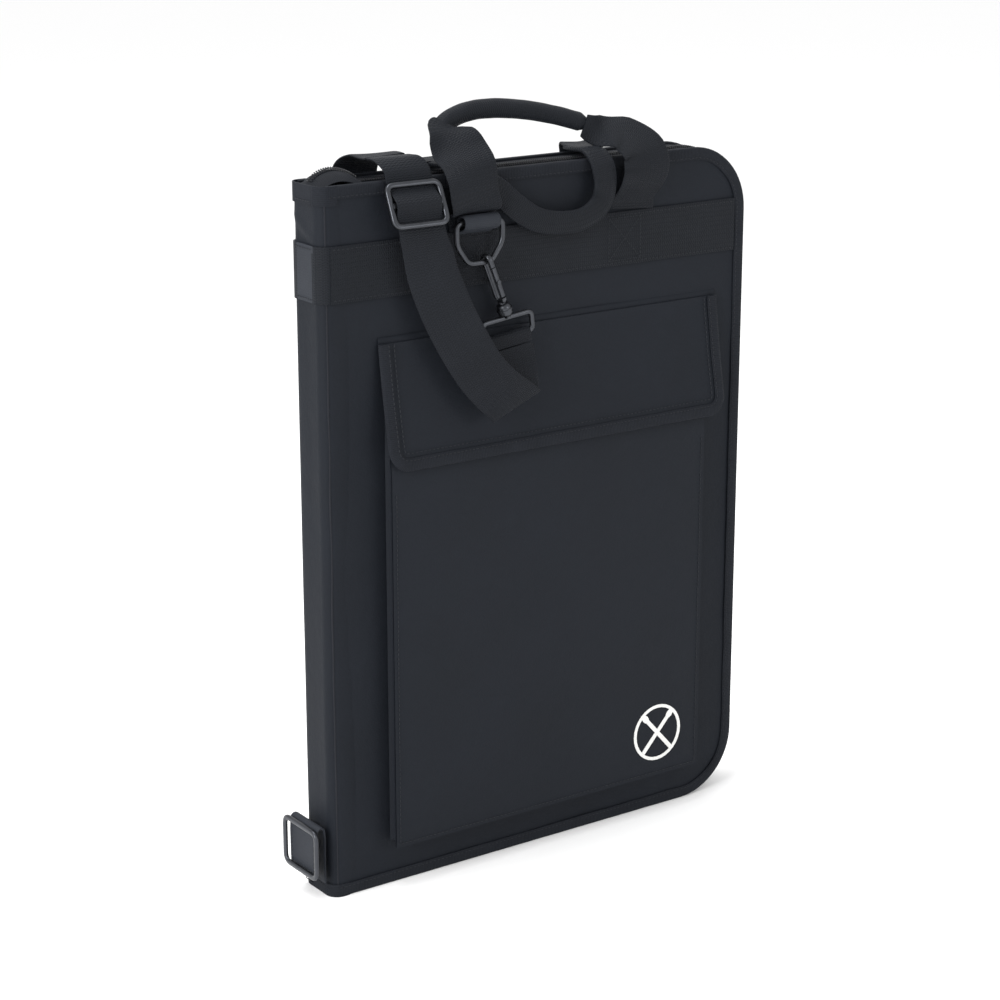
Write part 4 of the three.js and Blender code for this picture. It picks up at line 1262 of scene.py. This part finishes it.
inner_pocket("tall_sleeve", "stick_sleeve_tall", "rear_cover", LINING, -160, 150, 12.4, 6.6, 14, 330, 4)
inner_pocket("short_sleeve", "stick_sleeve_short", "rear_cover", LINING, -160, 150, 6.0, 0.0, 14, 205, 3)
inner_pocket("mesh_pocket", "inner_mesh_pocket", "front_cover", MESH, -150, 150, -12.4, -6.8, 20, 245, 1)


def board(side):
    """Stiffening board inside a cover, its spine edge cut back behind the rounded fold."""
    low, high, bend = 7, HEIGHT - 7, CORNER - 7
    heights = [low + (high - low) * (1 - math.cos(a)) / 2 for a in span(0, math.pi, 40)]

    def point(share, z):
        depth = max(low + bend - z, z - high + bend, 0)
        right = RIGHT - 7 - bend + math.sqrt(max(bend * bend - depth * depth, 0))
        return LEFT + 12 + (right - LEFT - 12) * share, side * (FACE - 2.6), z

    return thicken(surface(span(0, 1, 12), heights, point), 2.2, (0, 0, HEIGHT / 2))


rows = [[Vector((LEFT + 2.2, 9 - 3 * i, 6 + 488 * k / 20)) for i in range(7)] for k in range(21)]
make("spine_foam", thicken(grid(rows), 1.6, (0, 0, 250)), FOAM, "spine", ["spine_board"])
for word, side in (("rear", 1), ("front", -1)):
    make(f"{word}_foam", board(side), FOAM, f"{word}_cover", [f"{word}_board"])

# ---- the printed mark keeps its CAD shape, and gets a finished material --------------------------
mark = NODES["printed_mark"].data.materials
mark.clear()
mark.append(PRINT.material)

# ---- floor, light and camera --------------------------------------------------------------------
floor_mesh = bpy.data.meshes.new("floor")
reach = 60.0
corners = [(-reach, -reach, 0), (reach, -reach, 0), (reach, reach, 0), (-reach, reach, 0)]
floor_mesh.from_pydata(corners, [], [(0, 1, 2, 3)])
floor = bpy.data.objects.new("floor", floor_mesh)
bpy.context.collection.objects.link(floor)
floor_look = bpy.data.materials.new("floor")
floor_look.use_nodes = True
floor_shader = floor_look.node_tree.nodes["Principled BSDF"]
floor_shader.inputs["Base Color"].default_value = (0.97, 0.97, 0.97, 1)
floor_shader.inputs["Roughness"].default_value = 0.9
floor_mesh.materials.append(floor_look)

world = bpy.data.worlds.new("studio")
bpy.context.scene.world = world
world.use_nodes = True
world.node_tree.nodes["Background"].inputs["Color"].default_value = (1, 1, 1, 1)
world.node_tree.nodes["Background"].inputs["Strength"].default_value = 1.0


def softbox(name, place, aim, size, power):
    """Area light at a place in metres, turned towards its aim."""
    light = bpy.data.lights.new(name, "AREA")
    light.shape = "RECTANGLE"
    light.size, light.size_y = size
    light.energy = power
    lamp = bpy.data.objects.new(name, light)
    lamp.location = place
    lamp.rotation_euler = (Vector(aim) - Vector(place)).to_track_quat("-Z", "Y").to_euler()
    bpy.context.collection.objects.link(lamp)


softbox("key", (-2.4, -0.7, 1.3), (0, 0, 0.25), (1.0, 1.4), 60)
softbox("fill", (1.2, -2.6, 1.0), (0, 0, 0.2), (1.2, 1.0), 14)
softbox("top", (-0.3, 0.3, 2.3), (0, 0, 0.4), (1.2, 0.8), 30)

camera = bpy.data.cameras.new("camera")
camera.lens = 89.1
camera.sensor_width = 36
eye_point = bpy.data.objects.new("camera", camera)
eye_point.location = at(-999, -1380, 753)
eye_point.rotation_euler = (math.radians(90 - 16.27), 0, math.radians(-35.24))
bpy.context.collection.objects.link(eye_point)
bpy.context.scene.camera = eye_point
bpy.context.scene.view_settings.view_transform = "Standard"

bpy.context.view_layer.update()
